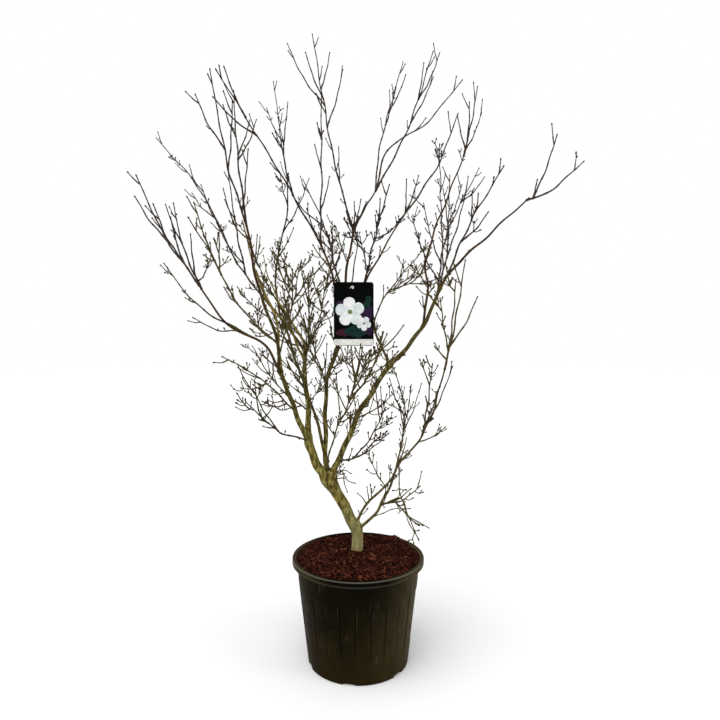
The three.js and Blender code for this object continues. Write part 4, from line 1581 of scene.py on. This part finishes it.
    def build(self) -> None:
        """Make the pot one closed piece in place of its solid."""
        angles = turns(self.sides)
        outline = self.outline(angles)
        shell = turned(outline)
        # The pot's vertices hold painted highlights above 0 and painted shade below 0
        shell.age[:-2] = self.painted_light(outline[1:-1], angles).ravel()
        shell.piece("nursery_pot", Slot.POT, [self.finish], ["pot"])


@dataclass
class Soil:
    """The soil: a low uneven mound of fine bark, and the loose chips that lie on it."""

    mound_finish: Material
    chip_finishes: list[Material]
    rings: int = 70
    sides: int = 160
    edge: float = 230.0
    under: float = 345.0
    heap: Pair = (146.0, 172.0)
    heap_reach: float = 30.0
    heap_rise: float = 8.0
    chip_count: int = 7000
    heaped_share: float = 0.07
    bare_round_wood: float = 27.0

    def height(self, x: Array, y: Array) -> Array:
        """Give the mound's height: a profile over the radius + soft rolls + the heap at the rim.

        Args:
            x: how far right of the pot's middle.
            y: how far behind it.

        Returns:
            The height over the floor, with lower rolls round the trunk's foot.
        """
        radii = [0, 74, 0.42 * COLLAR_RADIUS, 0.62 * COLLAR_RADIUS, 0.84 * COLLAR_RADIUS, self.edge]
        rises = [SOIL_MIDDLE, SOIL_MIDDLE, SOIL_EDGE + 8, SOIL_EDGE + 5, SOIL_EDGE + 4, SOIL_EDGE]
        flat = np.stack([x, y, 0 * x], -1)
        roll = 3.2 * waves(flat, 34, 21) + 1.4 * waves(flat, 11, 22)
        heap = np.exp(-((x - self.heap[0]) ** 2 + (y - self.heap[1]) ** 2) / self.heap_reach ** 2)
        near_wood = np.exp(-(np.hypot(x + 5, y - 42) / 40) ** 2)
        return (np.interp(np.hypot(x, y), radii, rises) + roll * (1 - 0.7 * near_wood)
                + self.heap_rise * heap)

    def mound(self) -> Surface:
        """Lay rings out to the wall, closed below by a flat disc.

        Returns:
            The mound.
        """
        radii, angles = np.linspace(3, self.edge, self.rings)[::-1, None], turns(self.sides)
        x, y = radii * np.cos(angles), radii * np.sin(angles)
        crumbs = 0.9 * waves(np.stack([x, y, 0 * x], -1), 4.2, 23)
        top = np.stack([np.broadcast_to(radii, x.shape), self.height(x, y) + crumbs], -1)
        low = np.repeat([[[221.5, self.under]], [[221.5, 369.0]]], self.sides, axis=1)
        floor = np.full((1, self.sides, 2), [0.0, self.under])
        crown = np.full((1, self.sides, 2), [0.0, float(top[-1, :, 1].mean())])
        return turned(np.concatenate([floor, low, top, crown]))

    def chips(self) -> Surface:
        """Scatter bent slivers over the mound, some on the heap, each in a seeded tone.

        A sliver is a box with pinched ends, its middle raised by 1 - the square of the way along. It
        is turned, tilted along its length and rolled about it.

        Returns:
            All the slivers.
        """
        random = np.random.default_rng(5)
        count = self.chip_count
        angle, off = random.uniform(0, 2 * math.pi, count), 228 * np.sqrt(random.uniform(size=count))
        x, y = off * np.cos(angle), off * np.sin(angle)
        heaped = random.uniform(size=count) < self.heaped_share
        x = np.where(heaped, self.heap[0] + random.normal(0, 22, count), x)
        y = np.where(heaped, self.heap[1] + random.normal(0, 14, count), y)
        held = np.minimum(1, np.where(heaped, 236, 227) / np.hypot(x, y))
        x, y = x * held, y * held
        clear = np.hypot(x + 5, y - 40) > self.bare_round_wood
        x, y = x[clear], y[clear]
        count = len(x)
        long = random.gamma(3.2, 2.2, count) + 3
        wide = long * random.uniform(0.22, 0.55, count)
        thin = random.uniform(0.8, 2.2, count)
        turn = random.uniform(0, 2 * math.pi, count)
        tilt, roll = random.normal(0, 0.34, count), random.normal(0, 0.4, count)
        low = [[-1, -0.5], [-1, 0.5], [0, -1], [0, 1], [1, -0.4], [1, 0.4]]
        corners = np.array([[*corner, level] for level in (-1, 1) for corner in low], float) / 2
        local = corners[None] * np.stack([long, wide, thin], -1)[:, None]
        local[..., 2] += 0.12 * long[:, None] * (1 - (2 * corners[:, 0]) ** 2)
        local[..., :2] += random.normal(0, 0.05, local[..., :2].shape) * long[:, None, None]
        forward = np.stack([np.cos(turn) * np.cos(tilt), np.sin(turn) * np.cos(tilt), np.sin(tilt)], -1)
        left = np.stack([-np.sin(turn), np.cos(turn), 0 * turn], -1)
        side = left * np.cos(roll)[:, None] + np.cross(forward, left) * np.sin(roll)[:, None]
        axes = np.stack([forward, side, np.cross(forward, side)], 1)
        z = self.height(x, y) + random.uniform(0.4, 3.2, count)
        places = np.einsum("nij,njk->nik", local, axes) + np.stack([x, y, z], -1)[:, None]
        box = np.array([[0, 1, 3, 2], [2, 3, 5, 4], [6, 8, 9, 7], [8, 10, 11, 9], [0, 2, 8, 6],
                        [2, 4, 10, 8], [1, 7, 9, 3], [3, 9, 11, 5], [0, 6, 7, 1], [4, 5, 11, 10]])
        quads = box[None] + len(corners) * np.arange(count)[:, None, None]
        tones = random.choice(len(self.chip_finishes), count, p=CHIP_SHARES)
        return Surface(places.reshape(-1, 3), quads, np.empty((0, 3), int),
                       tone_quads=np.repeat(tones, len(box)))

    def build(self) -> None:
        """Make the mound in place of the soil's solid, and the chips as one piece."""
        self.mound().piece("soil_mound", Slot.SOIL, [self.mound_finish], ["soil"])
        self.chips().piece("bark_chips", Slot.SOIL, self.chip_finishes, smooth=False)


@dataclass
class PictureCard:
    """The picture card: a thin bowed plate, a made-up blossom design on it, and its white tie."""

    skeleton: Skeleton
    wood: BarkedWood
    plate_finish: Material
    print_finishes: list[Material]
    tie_finish: Material
    sides: int = 96
    bow: float = 3.0
    print_thick: float = 0.18
    hole_drop: float = 23.0
    tie_thick: float = 4.0
    tie_reach: float = 13.0

    def bowed(self, flat: Array) -> Array:
        """Set flat places on the card, bowed back by the square of how far right they are.

        Args:
            flat: rows of right, forward and up.

        Returns:
            Rows of x, y and z.
        """
        places = flat.copy()
        places[..., 1] = self.bow * (flat[..., 0] / (CARD_WIDTH / 2)) ** 2 - flat[..., 1]
        return places + self.skeleton.card

    def plate(self) -> Surface:
        """Fill a rounded rectangle with rings that shrink to its middle, front and back.

        Returns:
            The plate.
        """
        edge = circle(self.sides)
        half = np.array([CARD_WIDTH / 2, CARD_HEIGHT / 2])
        square = edge * (half / np.maximum(np.abs(edge), 1e-9)).min(1)[:, None]
        over = np.abs(square) - (half - CARD_CORNER)
        rounded = np.sign(edge) * (half - CARD_CORNER + CARD_CORNER * unit(np.maximum(over, 1e-6)))
        rim = np.where((over > 0).all(1)[:, None], rounded, square)
        front = rim * np.array([0.2, 0.4, 0.6, 0.8, 0.96, 1.0])[:, None, None]
        flat = np.concatenate([front, front[::-1]])
        face = CARD_THICK / 2
        depth = np.array([*[face] * 5, CARD_THICK * 0.3, -CARD_THICK * 0.3, *[-face] * 5])
        grid = np.stack([flat[..., 0], np.repeat(depth[:, None], self.sides, 1), flat[..., 1]], -1)
        return self._closed(grid, (0, 0), (face, -face))

    def _closed(self, grid: Array, middle: Pair, depths: Pair, tone: int = 0) -> Surface:
        """Join a grid of rings and two end places into one closed surface on the card.

        Args:
            grid: n rings of m places, from the front's middle outwards and on to the back.
            middle: how far right and up the two end places are.
            depths: how far forward the front's is, and the back's.
            tone: the finish of all its faces.

        Returns:
            The surface, facing out.
        """
        ends = [[middle[0], depth, middle[1]] for depth in depths]
        quads, tris = tube_faces(*grid.shape[:2])
        places = self.bowed(np.concatenate([grid.reshape(-1, 3), ends]))
        return Surface(places, quads[:, [0, 3, 2, 1]], tris[:, [0, 2, 1]], 0.0, tone, tone)

    def patch(self, middle: Pair, outline: Array, tone: int, layer: int) -> Surface:
        """Lay a thin patch on the card's face.

        Args:
            middle: how far right and up of the card's middle it lies.
            outline: its radius at each even angle.
            tone: its finish.
            layer: how many patches lie under it.

        Returns:
            The patch, closed by a back that is sunk in the card.
        """
        edge = circle(len(outline)) * outline[:, None]
        low, high = CARD_THICK / 2 - 0.1, CARD_THICK / 2 + self.print_thick * (1 + layer)
        rings = [*((share, high) for share in (0.14, 0.28, 0.42, 0.56, 0.7, 0.84, 0.97)),
                 (1.0, high - 0.05), (1.0, low), (0.7, low), (0.35, low)]
        grid = np.stack([np.stack([middle[0] + edge[:, 0] * share, np.full(len(edge), depth),
                                   middle[1] + edge[:, 1] * share], -1) for share, depth in rings])
        return self._closed(grid, middle, (high, low), tone)

    def blossom(self, middle: Pair, size: float, turn: float, layer: int) -> list[Surface]:
        """Draw a plain five-petalled blossom: five rounded petals and a round green eye.

        Args:
            middle: how far right and up of the card's middle it lies.
            size: how far its petals reach.
            turn: the angle of the first petal.
            layer: how many patches lie under it.

        Returns:
            The petals, each a little wider or narrower round its turn, and the eye.
        """
        t = turns(60)
        parts = []
        for petal in range(5):
            way = turn + petal * 2 * math.pi / 5
            centre = (middle[0] + 0.56 * size * math.cos(way), middle[1] + 0.56 * size * math.sin(way))
            outline = size * (0.47 + 0.06 * np.cos(2 * (t - way)) - 0.03 * np.cos(3 * (t - way)))
            parts.append(self.patch(centre, outline, 0 if petal % 2 else 1, layer + petal % 2))
        eye = 0.17 * size * (1 + 0.06 * np.cos(9 * t))
        return [*parts, self.patch(middle, eye, 2, layer + 3)]

    def design(self) -> Surface:
        """Lay out the print: a pale strip, violet, teal and wine washes, leaves and blossoms.

        The strip's radius is that of a rectangle, a wash's that of an oval with a slow ripple, and
        a leaf's is widest along its own way.

        Returns:
            All the patches.
        """
        t, fine = turns(60), turns(360)
        strip = 1 / np.maximum(np.abs(np.cos(fine)) / 73.5, np.abs(np.sin(fine)) / 11.5)
        parts = [self.patch((0, -CARD_HEIGHT / 2 + 13.5), strip, 3, 0)]
        for x, z, wide, high, tone in ((48, 2, 22, 46, 4), (-54, 26, 14, 26, 4), (26, -66, 30, 16, 5),
                                       (-34, -70, 32, 14, 6), (58, -58, 12, 24, 4)):
            outline = 1 / np.sqrt((np.cos(t) / wide) ** 2 + (np.sin(t) / high) ** 2)
            parts.append(self.patch((x, z), outline * (1 + 0.08 * np.sin(5 * t + x)), tone, 0))
        for x, z, way in ((-12, -60, 0.5), (8, -76, -0.3), (52, 44, 1.3), (-58, 6, 2.2)):
            leaf = 25 * (0.42 + 0.58 * np.abs(np.cos(t - way)) ** 2.2)
            parts.append(self.patch((x, z), leaf, 5, 1))
        parts += self.blossom((-14, 8), 52, 0.4, 2) + self.blossom((38, -36), 26, 1.0, 2)
        return Surface.join(parts)

    def tie(self) -> Surface:
        """Carry a round strand through the hole and over the bough, as a loop that closes.

        Returns:
            The strand.
        """
        bough = self.wood.sticks["centre_bough"].at(0.42)[0]
        hole = self.skeleton.card + [-4, 0, CARD_HEIGHT / 2 - self.hole_drop]
        reach = self.tie_reach
        over = [bough + [0, reach, 8], bough + [-reach, 0, 6], bough + [-reach * 0.4, -reach, 0]]
        way = Way([*over, hole + [-3, -7, 6], hole + [0, -2, -3], hole + [3, 8, 6],
                   bough + [reach, -reach * 0.3, 2], *over])
        path = way.at(np.linspace(0.1, 0.86, 90))[None]
        return carry_rings(path, np.full(path.shape[:2], self.tie_thick / 2), 8)

    def build(self) -> None:
        """Make the plate in place of its solid, then the print and the tie."""
        self.plate().piece("card_plate", Slot.CARD, [self.plate_finish], ["picture_card"])
        self.design().piece("card_print", Slot.CARD, self.print_finishes)
        self.tie().piece("card_tie", Slot.CARD, [self.tie_finish])


class Tree:
    """A material's node tree, built in few words."""

    def __init__(self, name: str, roughness: float, specular: float) -> None:
        """Start a material with one plain shader.

        Args:
            name: the material's name.
            roughness: the shader's own roughness.
            specular: the shader's own specular level.
        """
        self.material = bpy.data.materials.new(name)
        self.material.use_nodes = True
        self.nodes, self.links = self.material.node_tree.nodes, self.material.node_tree.links
        self.shader = self.nodes["Principled BSDF"]
        self.fill(self.shader, {"Roughness": roughness, "Specular IOR Level": specular})
        self.object_place = self.nodes.new("ShaderNodeTexCoord").outputs["Object"]

    def fill(self, node: bpy.types.Node, inputs: dict[str | int, Value]) -> bpy.types.Node:
        """Fill a node's inputs.

        Args:
            node: the node.
            inputs: what each gets: a socket to link to it, or a colour or number of its own.

        Returns:
            The same node.
        """
        for name, value in inputs.items():
            socket = node.inputs[name]
            if isinstance(value, Socket):
                self.links.new(value, socket)
            else:
                socket.default_value = (*value, 1) if socket.type == "RGBA" else value
        return node

    def node(self, kind: str, inputs: dict[str | int, Value], **choices: str) -> bpy.types.Node:
        """Add a node.

        Args:
            kind: its type's name after "ShaderNode".
            inputs: what each input gets.
            choices: its own settings.

        Returns:
            The node.
        """
        node = self.nodes.new(f"ShaderNode{kind}")
        for name, choice in choices.items():
            setattr(node, name, choice)
        return self.fill(node, inputs)

    def placed(self, kind: str, scale: float, stretch: Place, **inputs: Value) -> bpy.types.Node:
        """Add a pattern over the object's own places, stretched along its axes."""
        places = self.node("Mapping", {"Vector": self.object_place, "Scale": stretch})
        return self.node(kind, {"Vector": places.outputs["Vector"], "Scale": scale, **inputs})

    def noise(self, scale: float, detail: float = 4, stretch: Place = (1, 1, 1),
              rough: float = 0.55) -> Socket:
        """Add soft noise over the object's places."""
        return self.placed("TexNoise", scale, stretch, Detail=detail, Roughness=rough).outputs["Fac"]

    def spots(self, scale: float, stretch: Place) -> Socket:
        """Add the distance to scattered spots over the object's places."""
        return self.placed("TexVoronoi", scale, stretch).outputs["Distance"]

    def ramp(self, value: Socket, stops: Sequence[tuple[float, Colour]]) -> Socket:
        """Turn a value into a colour.

        Args:
            value: the value.
            stops: the values, in rising order, and the colour that each turns into.

        Returns:
            The colour.
        """
        node = self.node("ValToRGB", {"Fac": value})
        elements = node.color_ramp.elements
        while len(elements) < len(stops):
            elements.new(0.5)
        for element, (place, colour) in zip(elements, stops):
            element.position, element.color = place, (*colour, 1)
        return node.outputs["Color"]

    def span(self, value: Socket, low: float, high: float, start: float, end: float) -> Socket:
        """Map a value's range from low to high onto start to end."""
        return self.node("MapRange", {"Value": value, "From Min": low, "From Max": high,
                                      "To Min": start, "To Max": end}).outputs["Result"]

    def mix(self, share: Socket, first: Socket | Colour, second: Socket | Colour) -> Socket:
        """Mix two colours by a share."""
        return self.node("Mix", {"Factor": share, 6: first, 7: second}, data_type="RGBA").outputs[2]

    def maths(self, kind: str, *values: Socket) -> Socket:
        """Add, multiply or otherwise combine one or two values."""
        return self.node("Math", dict(enumerate(values)), operation=kind).outputs[0]

    def attribute(self, name: str) -> Socket:
        """Read a number that each of the piece's vertices holds."""
        return self.node("Attribute", {}, attribute_name=name).outputs["Fac"]

    def axis(self, name: str) -> Socket:
        """Read how far along one of the object's own axes a place is."""
        return self.node("SeparateXYZ", {0: self.object_place}).outputs[name]

    def colour(self, value: Socket | Colour) -> None:
        """Give the shader its base colour."""
        self.fill(self.shader, {"Base Color": value})

    def rough(self, value: Socket) -> None:
        """Give the shader a roughness that changes over the surface."""
        self.fill(self.shader, {"Roughness": value})

    def bump(self, value: Socket, strength: float, distance: float) -> None:
        """Raise the surface by a value, on top of any bump that it has.

        Args:
            value: how far each place is raised, from 0 to 1.
            strength: how much of the relief shows.
            distance: the relief's full height, in metres.
        """
        inputs = {"Height": value, "Strength": strength, "Distance": distance}
        inputs |= {"Normal": link.from_socket for link in self.shader.inputs["Normal"].links}
        self.fill(self.shader, {"Normal": self.node("Bump", inputs).outputs["Normal"]})


@dataclass(frozen=True)
class Bark:
    """Smooth young bark: mottled olive, browner where it's young, with pale flecks and dark scars."""

    name: str
    shade: Colour
    olive: Colour
    gold: Colour
    pale: Colour
    young: Colour
    young_dark: Colour
    sunny_height: Pair = (0.80, 1.05)
    pale_height: Pair = (0.44, 0.58)

    def material(self) -> Material:
        """Build the bark's nodes.

        Returns:
            The material.
        """
        tree = Tree(self.name, 0.76, 0.1)
        height = tree.axis("Z")
        mottle = tree.noise(105, 8, (1, 1, 0.28), 0.66)
        high = tree.ramp(mottle, [(0.42, self.shade), (0.54, self.olive), (0.7, self.pale)])
        sunny = tree.ramp(mottle, [(0.38, self.shade), (0.46, self.olive), (0.57, self.gold),
                                   (0.7, self.pale)])
        old = tree.mix(tree.span(height, *self.sunny_height, 0, 1), sunny, high)
        flecks = tree.span(tree.spots(190, (1, 1, 0.7)), 0.08, 0.24, 1, 0)
        old = tree.mix(tree.span(flecks, 0, 1, 0, 0.4), old, self.pale)
        scars = tree.span(tree.noise(34, 3, (1, 1, 0.3)), 0.60, 0.70, 0, 0.6)
        old = tree.mix(scars, old, self.shade)
        old = tree.mix(tree.span(height, *self.pale_height, 0.5, 0), old, self.pale)
        young = tree.ramp(tree.noise(70, 4, (1, 1, 0.3)), [(0.38, self.young_dark), (0.62, self.young)])
        drift = tree.span(tree.noise(14, 3), 0.3, 0.7, -0.22, 0.22)
        age = tree.span(tree.maths("ADD", tree.attribute("age"), drift), 0.25, 0.85, 0, 1)
        tree.colour(tree.mix(age, old, young))
        tree.rough(tree.span(mottle, 0.3, 0.7, 0.62, 0.84))
        tree.bump(tree.noise(160, 5, (1, 1, 0.35)), 0.45, 0.0012)
        tree.bump(flecks, 0.3, 0.0008)
        return tree.material


@dataclass(frozen=True)
class TwigBark:
    """A twig's bark in one plain tone, with fine ridges along it."""

    name: str
    tone: Colour

    def material(self) -> Material:
        """Build the twig's nodes: the tone itself, and noise only in gloss and relief.

        Returns:
            The material.
        """
        tree = Tree(self.name, 0.7, 0.06)
        tree.colour(self.tone)
        grain = tree.noise(240, 3, (1, 1, 0.4))
        tree.rough(tree.span(grain, 0.3, 0.7, 0.5, 0.75))
        tree.bump(grain, 0.3, 0.0005)
        return tree.material


@dataclass(frozen=True)
class PotPlastic:
    """Dull black plastic: dusty in clouds and low down, browner on its left, with painted sheen on its right.

    Painted shade makes its front darkest high up, under the rim and on it, and painted sheen pales the rim's
    sides.
    Painted highlights pale the rim's lip and band and the panels' sides, and painted shade darkens the
    panels' corners.
    """

    name: str
    black: Colour
    dust: Colour
    # The next tones: the painted sheen, the pale of scuffs and painted highlights, a brown, and the painted
    # shade
    sheen: Colour
    scuff_and_highlight: Colour
    brown: Colour
    painted_shade: Colour
    rim_height: Pair = (0.366, 0.369)

    def material(self) -> Material:
        """Build the plastic's nodes.

        Returns:
            The material.
        """
        tree = Tree(self.name, 0.4, 0.015)
        right, height, highlight_and_shade = tree.axis("X"), tree.axis("Z"), tree.attribute("age")
        base = tree.mix(tree.span(tree.noise(5, 5), 0.42, 0.72, 0, 0.7), self.black, self.dust)
        patches = tree.span(tree.noise(30, 6, (1, 1, 0.6), 0.7), 0.42, 0.66, 0, 0.6)
        base = tree.mix(patches, base, self.dust)
        # Painted sheen on the right side, broken up by soft noise
        drift = tree.span(tree.noise(38, 7, (1, 1, 0.4), 0.7), 0.3, 0.7, 0.35, 1.45)
        lit = tree.maths("MULTIPLY", tree.span(right, 0.03, 0.19, 0, 0.85), drift)
        base = tree.mix(lit, base, self.sheen)
        base = tree.mix(tree.span(height, 0.0, 0.17, 0.6, 0), base, self.dust)
        base = tree.mix(tree.span(right, -0.2, -0.08, 0.65, 0), base, self.brown)
        scuffs = tree.span(tree.noise(26, 8, (1, 1, 0.25), 0.7), 0.60, 0.76, 0, 0.5)
        base = tree.mix(scuffs, base, self.scuff_and_highlight)
        # Painted shade on the front, growing up the wall and deepest on the rim's band
        front = tree.span(tree.maths("ABSOLUTE", right), 0.10, 0.22, 1, 0)
        upper = tree.span(height, 0.13, 0.31, 0, 0.7)
        base = tree.mix(tree.maths("MULTIPLY", front, upper), base, self.painted_shade)
        rim = tree.span(height, *self.rim_height, 0, 0.75)
        base = tree.mix(tree.maths("MULTIPLY", front, rim), base, self.painted_shade)
        # Painted sheen on the rim's band at the sides
        edge = tree.maths("MULTIPLY", rim, tree.span(front, 0, 1, 0.75, 0))
        base = tree.mix(edge, base, self.sheen)
        # Painted shade where the vertices' number is below 0, in the panels' corners, and painted highlights
        # where it is above 0, on the rim and beside the panels
        base = tree.mix(tree.span(highlight_and_shade, -1, 0, 1, 0), base, self.painted_shade)
        tree.colour(tree.mix(tree.span(highlight_and_shade, 0, 1, 0, 1), base, self.scuff_and_highlight))
        tree.rough(tree.span(tree.noise(55, 6), 0.3, 0.7, 0.34, 0.56))
        tree.bump(tree.noise(420, 3), 0.18, 0.0006)
        tree.bump(tree.noise(18, 4, (1, 1, 0.2)), 0.25, 0.0012)
        return tree.material


@dataclass(frozen=True)
class BarkChips:
    """Damp crumbs and chips of bark in one tone, lighter on their dry edges."""

    name: str
    damp: Colour
    dry: Colour

    def material(self) -> Material:
        """Build the chips' nodes.

        Returns:
            The material.
        """
        tree = Tree(self.name, 0.9, 0.06)
        crumbs = tree.noise(190, 6, (1, 1, 1), 0.7)
        tree.colour(tree.ramp(crumbs, [(0.36, self.damp), (0.66, self.dry)]))
        tree.bump(crumbs, 0.7, 0.002)
        return tree.material


@dataclass(frozen=True)
class Printed:
    """Smooth printed or plain plastic of one tone with a slight unevenness."""

    name: str
    tone: Colour
    gloss: float = 0.35

    def material(self) -> Material:
        """Build the plastic's nodes.

        Returns:
            The material.
        """
        tree = Tree(self.name, self.gloss, 0.03)
        shade = tuple(0.82 * part for part in self.tone)
        tree.colour(tree.ramp(tree.noise(60, 3), [(0.35, shade), (0.65, self.tone)]))
        tree.bump(tree.noise(300, 2), 0.08, 0.0004)
        return tree.material


@dataclass
class Studio:
    """A pale floor, soft light from all round with two wide lamps, and the camera."""

    lens: float = 31.4
    film_width: float = 36.0
    shift_up: float = -0.0647
    eye_right: float = 0.007
    air_light: float = 0.62
    floor_radius: float = 14.0
    floor_drop: float = 0.0015

    def floor(self) -> None:
        """Lay a wide pale disc just under the pot."""
        ring = np.column_stack([self.floor_radius * circle(128), np.full(128, -self.floor_drop)])
        mesh = bpy.data.meshes.new("floor")
        mesh.from_pydata(ring.tolist(), [], [list(range(128))])
        tree = Tree("pale_floor", 0.9, 0.1)
        tree.colour(tree.ramp(tree.noise(0.8, 2), [(0.3, (0.93, 0.93, 0.93)), (0.7, (0.97, 0.97, 0.97))]))
        mesh.materials.append(tree.material)
        floor = bpy.data.objects.new("floor", mesh)
        bpy.context.scene.collection.objects.link(floor)

    def lamp(self, name: str, place: Place, power: float, width: float) -> None:
        """Light the whole studio evenly from one side.

        Args:
            name: the lamp's name.
            place: where the light comes from.
            power: how strong it is.
            width: how wide it looks, as an angle in radians.
        """
        light = bpy.data.lights.new(name, "SUN")
        light.angle, light.energy = width, power
        lamp = bpy.data.objects.new(name, light)
        lamp.location = place
        lamp.rotation_mode = "QUATERNION"
        lamp.rotation_quaternion = (-Vector(place)).to_track_quat("-Z", "Y")
        bpy.context.scene.collection.objects.link(lamp)

    def air(self) -> None:
        """Light the tree from all round, with a white ground that is stronger to the eye alone."""
        world = bpy.data.worlds.new("pale_studio")
        world.use_nodes = True
        nodes, links = world.node_tree.nodes, world.node_tree.links
        strength = nodes.new("ShaderNodeMapRange")
        strength.inputs["To Min"].default_value = self.air_light
        links.new(nodes.new("ShaderNodeLightPath").outputs["Is Camera Ray"], strength.inputs["Value"])
        nodes["Background"].inputs["Color"].default_value = (1, 1, 1, 1)
        links.new(strength.outputs["Result"], nodes["Background"].inputs["Strength"])
        bpy.context.scene.world = world

    def build(self) -> None:
        """Set the floor, the light and the camera."""
        self.floor()
        self.air()
        self.lamp("high_lamp", (-2.0, -3.0, 5.4), 1.8, 1.1)
        self.lamp("side_lamp", (3.6, -1.6, 2.2), 0.5, 0.5)
        scene = bpy.context.scene
        scene.view_settings.view_transform = "Standard"
        camera = bpy.data.cameras.new("camera")
        camera.lens, camera.sensor_width, camera.shift_y = self.lens, self.film_width, self.shift_up
        holder = bpy.data.objects.new("camera", camera)
        holder.location = (self.eye_right, -EYE_DISTANCE * MM, EYE_HEIGHT * MM)
        holder.rotation_euler = (math.pi / 2, 0, 0)
        scene.collection.objects.link(holder)
        scene.camera = holder


OLIVE_BARK = Bark(
    "olive_bark", shade=(0.026, 0.021, 0.003), olive=(0.085, 0.068, 0.012), gold=(0.25, 0.21, 0.05),
    pale=(0.44, 0.39, 0.19), young=(0.092, 0.062, 0.015), young_dark=(0.030, 0.018, 0.006))
BROWN_BARK = Bark(
    "brown_bark", shade=(0.024, 0.018, 0.003), olive=(0.070, 0.054, 0.013), gold=(0.17, 0.13, 0.035),
    pale=(0.28, 0.23, 0.10), young=(0.072, 0.036, 0.012), young_dark=(0.024, 0.013, 0.007))
# The pot's plastic, with its painted sheen, the pale of its scuffs and painted highlights, and its painted
# shade
POT_PLASTIC = PotPlastic(
    "pot_plastic", black=(0.0056, 0.0048, 0.0018), dust=(0.020, 0.0128, 0.0030),
    sheen=(0.056, 0.044, 0.018), scuff_and_highlight=(0.125, 0.120, 0.088), brown=(0.011, 0.0062, 0.0014),
    painted_shade=(0.0008, 0.0007, 0.0003))

# Tones of the sprays: three brown ones, two olive ones and a golden one, then how dark a bud is
TWIG_TONES: tuple[Colour, ...] = (
    (0.045, 0.029, 0.021), (0.050, 0.037, 0.028), (0.031, 0.021, 0.016), (0.052, 0.038, 0.015),
    (0.076, 0.058, 0.019), (0.19, 0.145, 0.036))
BUD_SHADE = 0.6

# Damp and dry tone of the crumbs between the chips, and of each kind of chip
CRUMB_TONES: tuple[Colour, Colour] = ((0.003, 0.0006, 0.0005), (0.025, 0.004, 0.003))
CHIP_TONES: tuple[tuple[Colour, Colour], ...] = (
    ((0.012, 0.0015, 0.001), (0.045, 0.008, 0.004)), ((0.028, 0.005, 0.003), (0.095, 0.022, 0.011)),
    ((0.005, 0.001, 0.0007), (0.020, 0.004, 0.002)), ((0.060, 0.018, 0.008), (0.19, 0.062, 0.026)))

# Tones of the card's black face, its white tie, and its print in the order that patches name them
CARD_BLACK = Printed("card_black", (0.0010, 0.0020, 0.0009), 0.45)
TIE_WHITE = Printed("tie_white", (0.80, 0.81, 0.80), 0.4)
PRINT_TONES: dict[str, Colour] = {
    "white": (0.86, 0.88, 0.86), "cool_white": (0.74, 0.80, 0.80), "green": (0.16, 0.24, 0.10),
    "pale_strip": (0.80, 0.79, 0.74), "violet": (0.028, 0.013, 0.040), "teal": (0.008, 0.030, 0.026),
    "wine": (0.046, 0.012, 0.020)}


def main() -> None:
    """Build the dressed tree in order, then the studio."""
    logging.basicConfig(level=logging.INFO, format="%(name)s: %(message)s")
    skeleton = Skeleton()
    wood = BarkedWood(skeleton, {Slot.OLIVE: OLIVE_BARK.material(), Slot.BROWN: BROWN_BARK.material()})
    wood.lay()
    wood.build()
    twigs = [TwigBark(f"twig_bark_{i}", tone).material() for i, tone in enumerate(TWIG_TONES)]
    scales = [TwigBark(f"bud_scale_{i}", tuple(BUD_SHADE * part for part in tone)).material()
              for i, tone in enumerate(TWIG_TONES)]
    crown = Crown(skeleton, wood, twigs, scales)
    crown.lay()
    crown.build()
    Pot(POT_PLASTIC.material()).build()
    chips = [BarkChips(f"bark_chips_{i}", *tones).material() for i, tones in enumerate(CHIP_TONES)]
    Soil(BarkChips("soil_crumbs", *CRUMB_TONES).material(), chips).build()
    prints = [Printed(f"print_{name}", tone).material() for name, tone in PRINT_TONES.items()]
    PictureCard(skeleton, wood, CARD_BLACK.material(), prints, TIE_WHITE.material()).build()
    Studio().build()


if __name__ == "__main__":
    main()
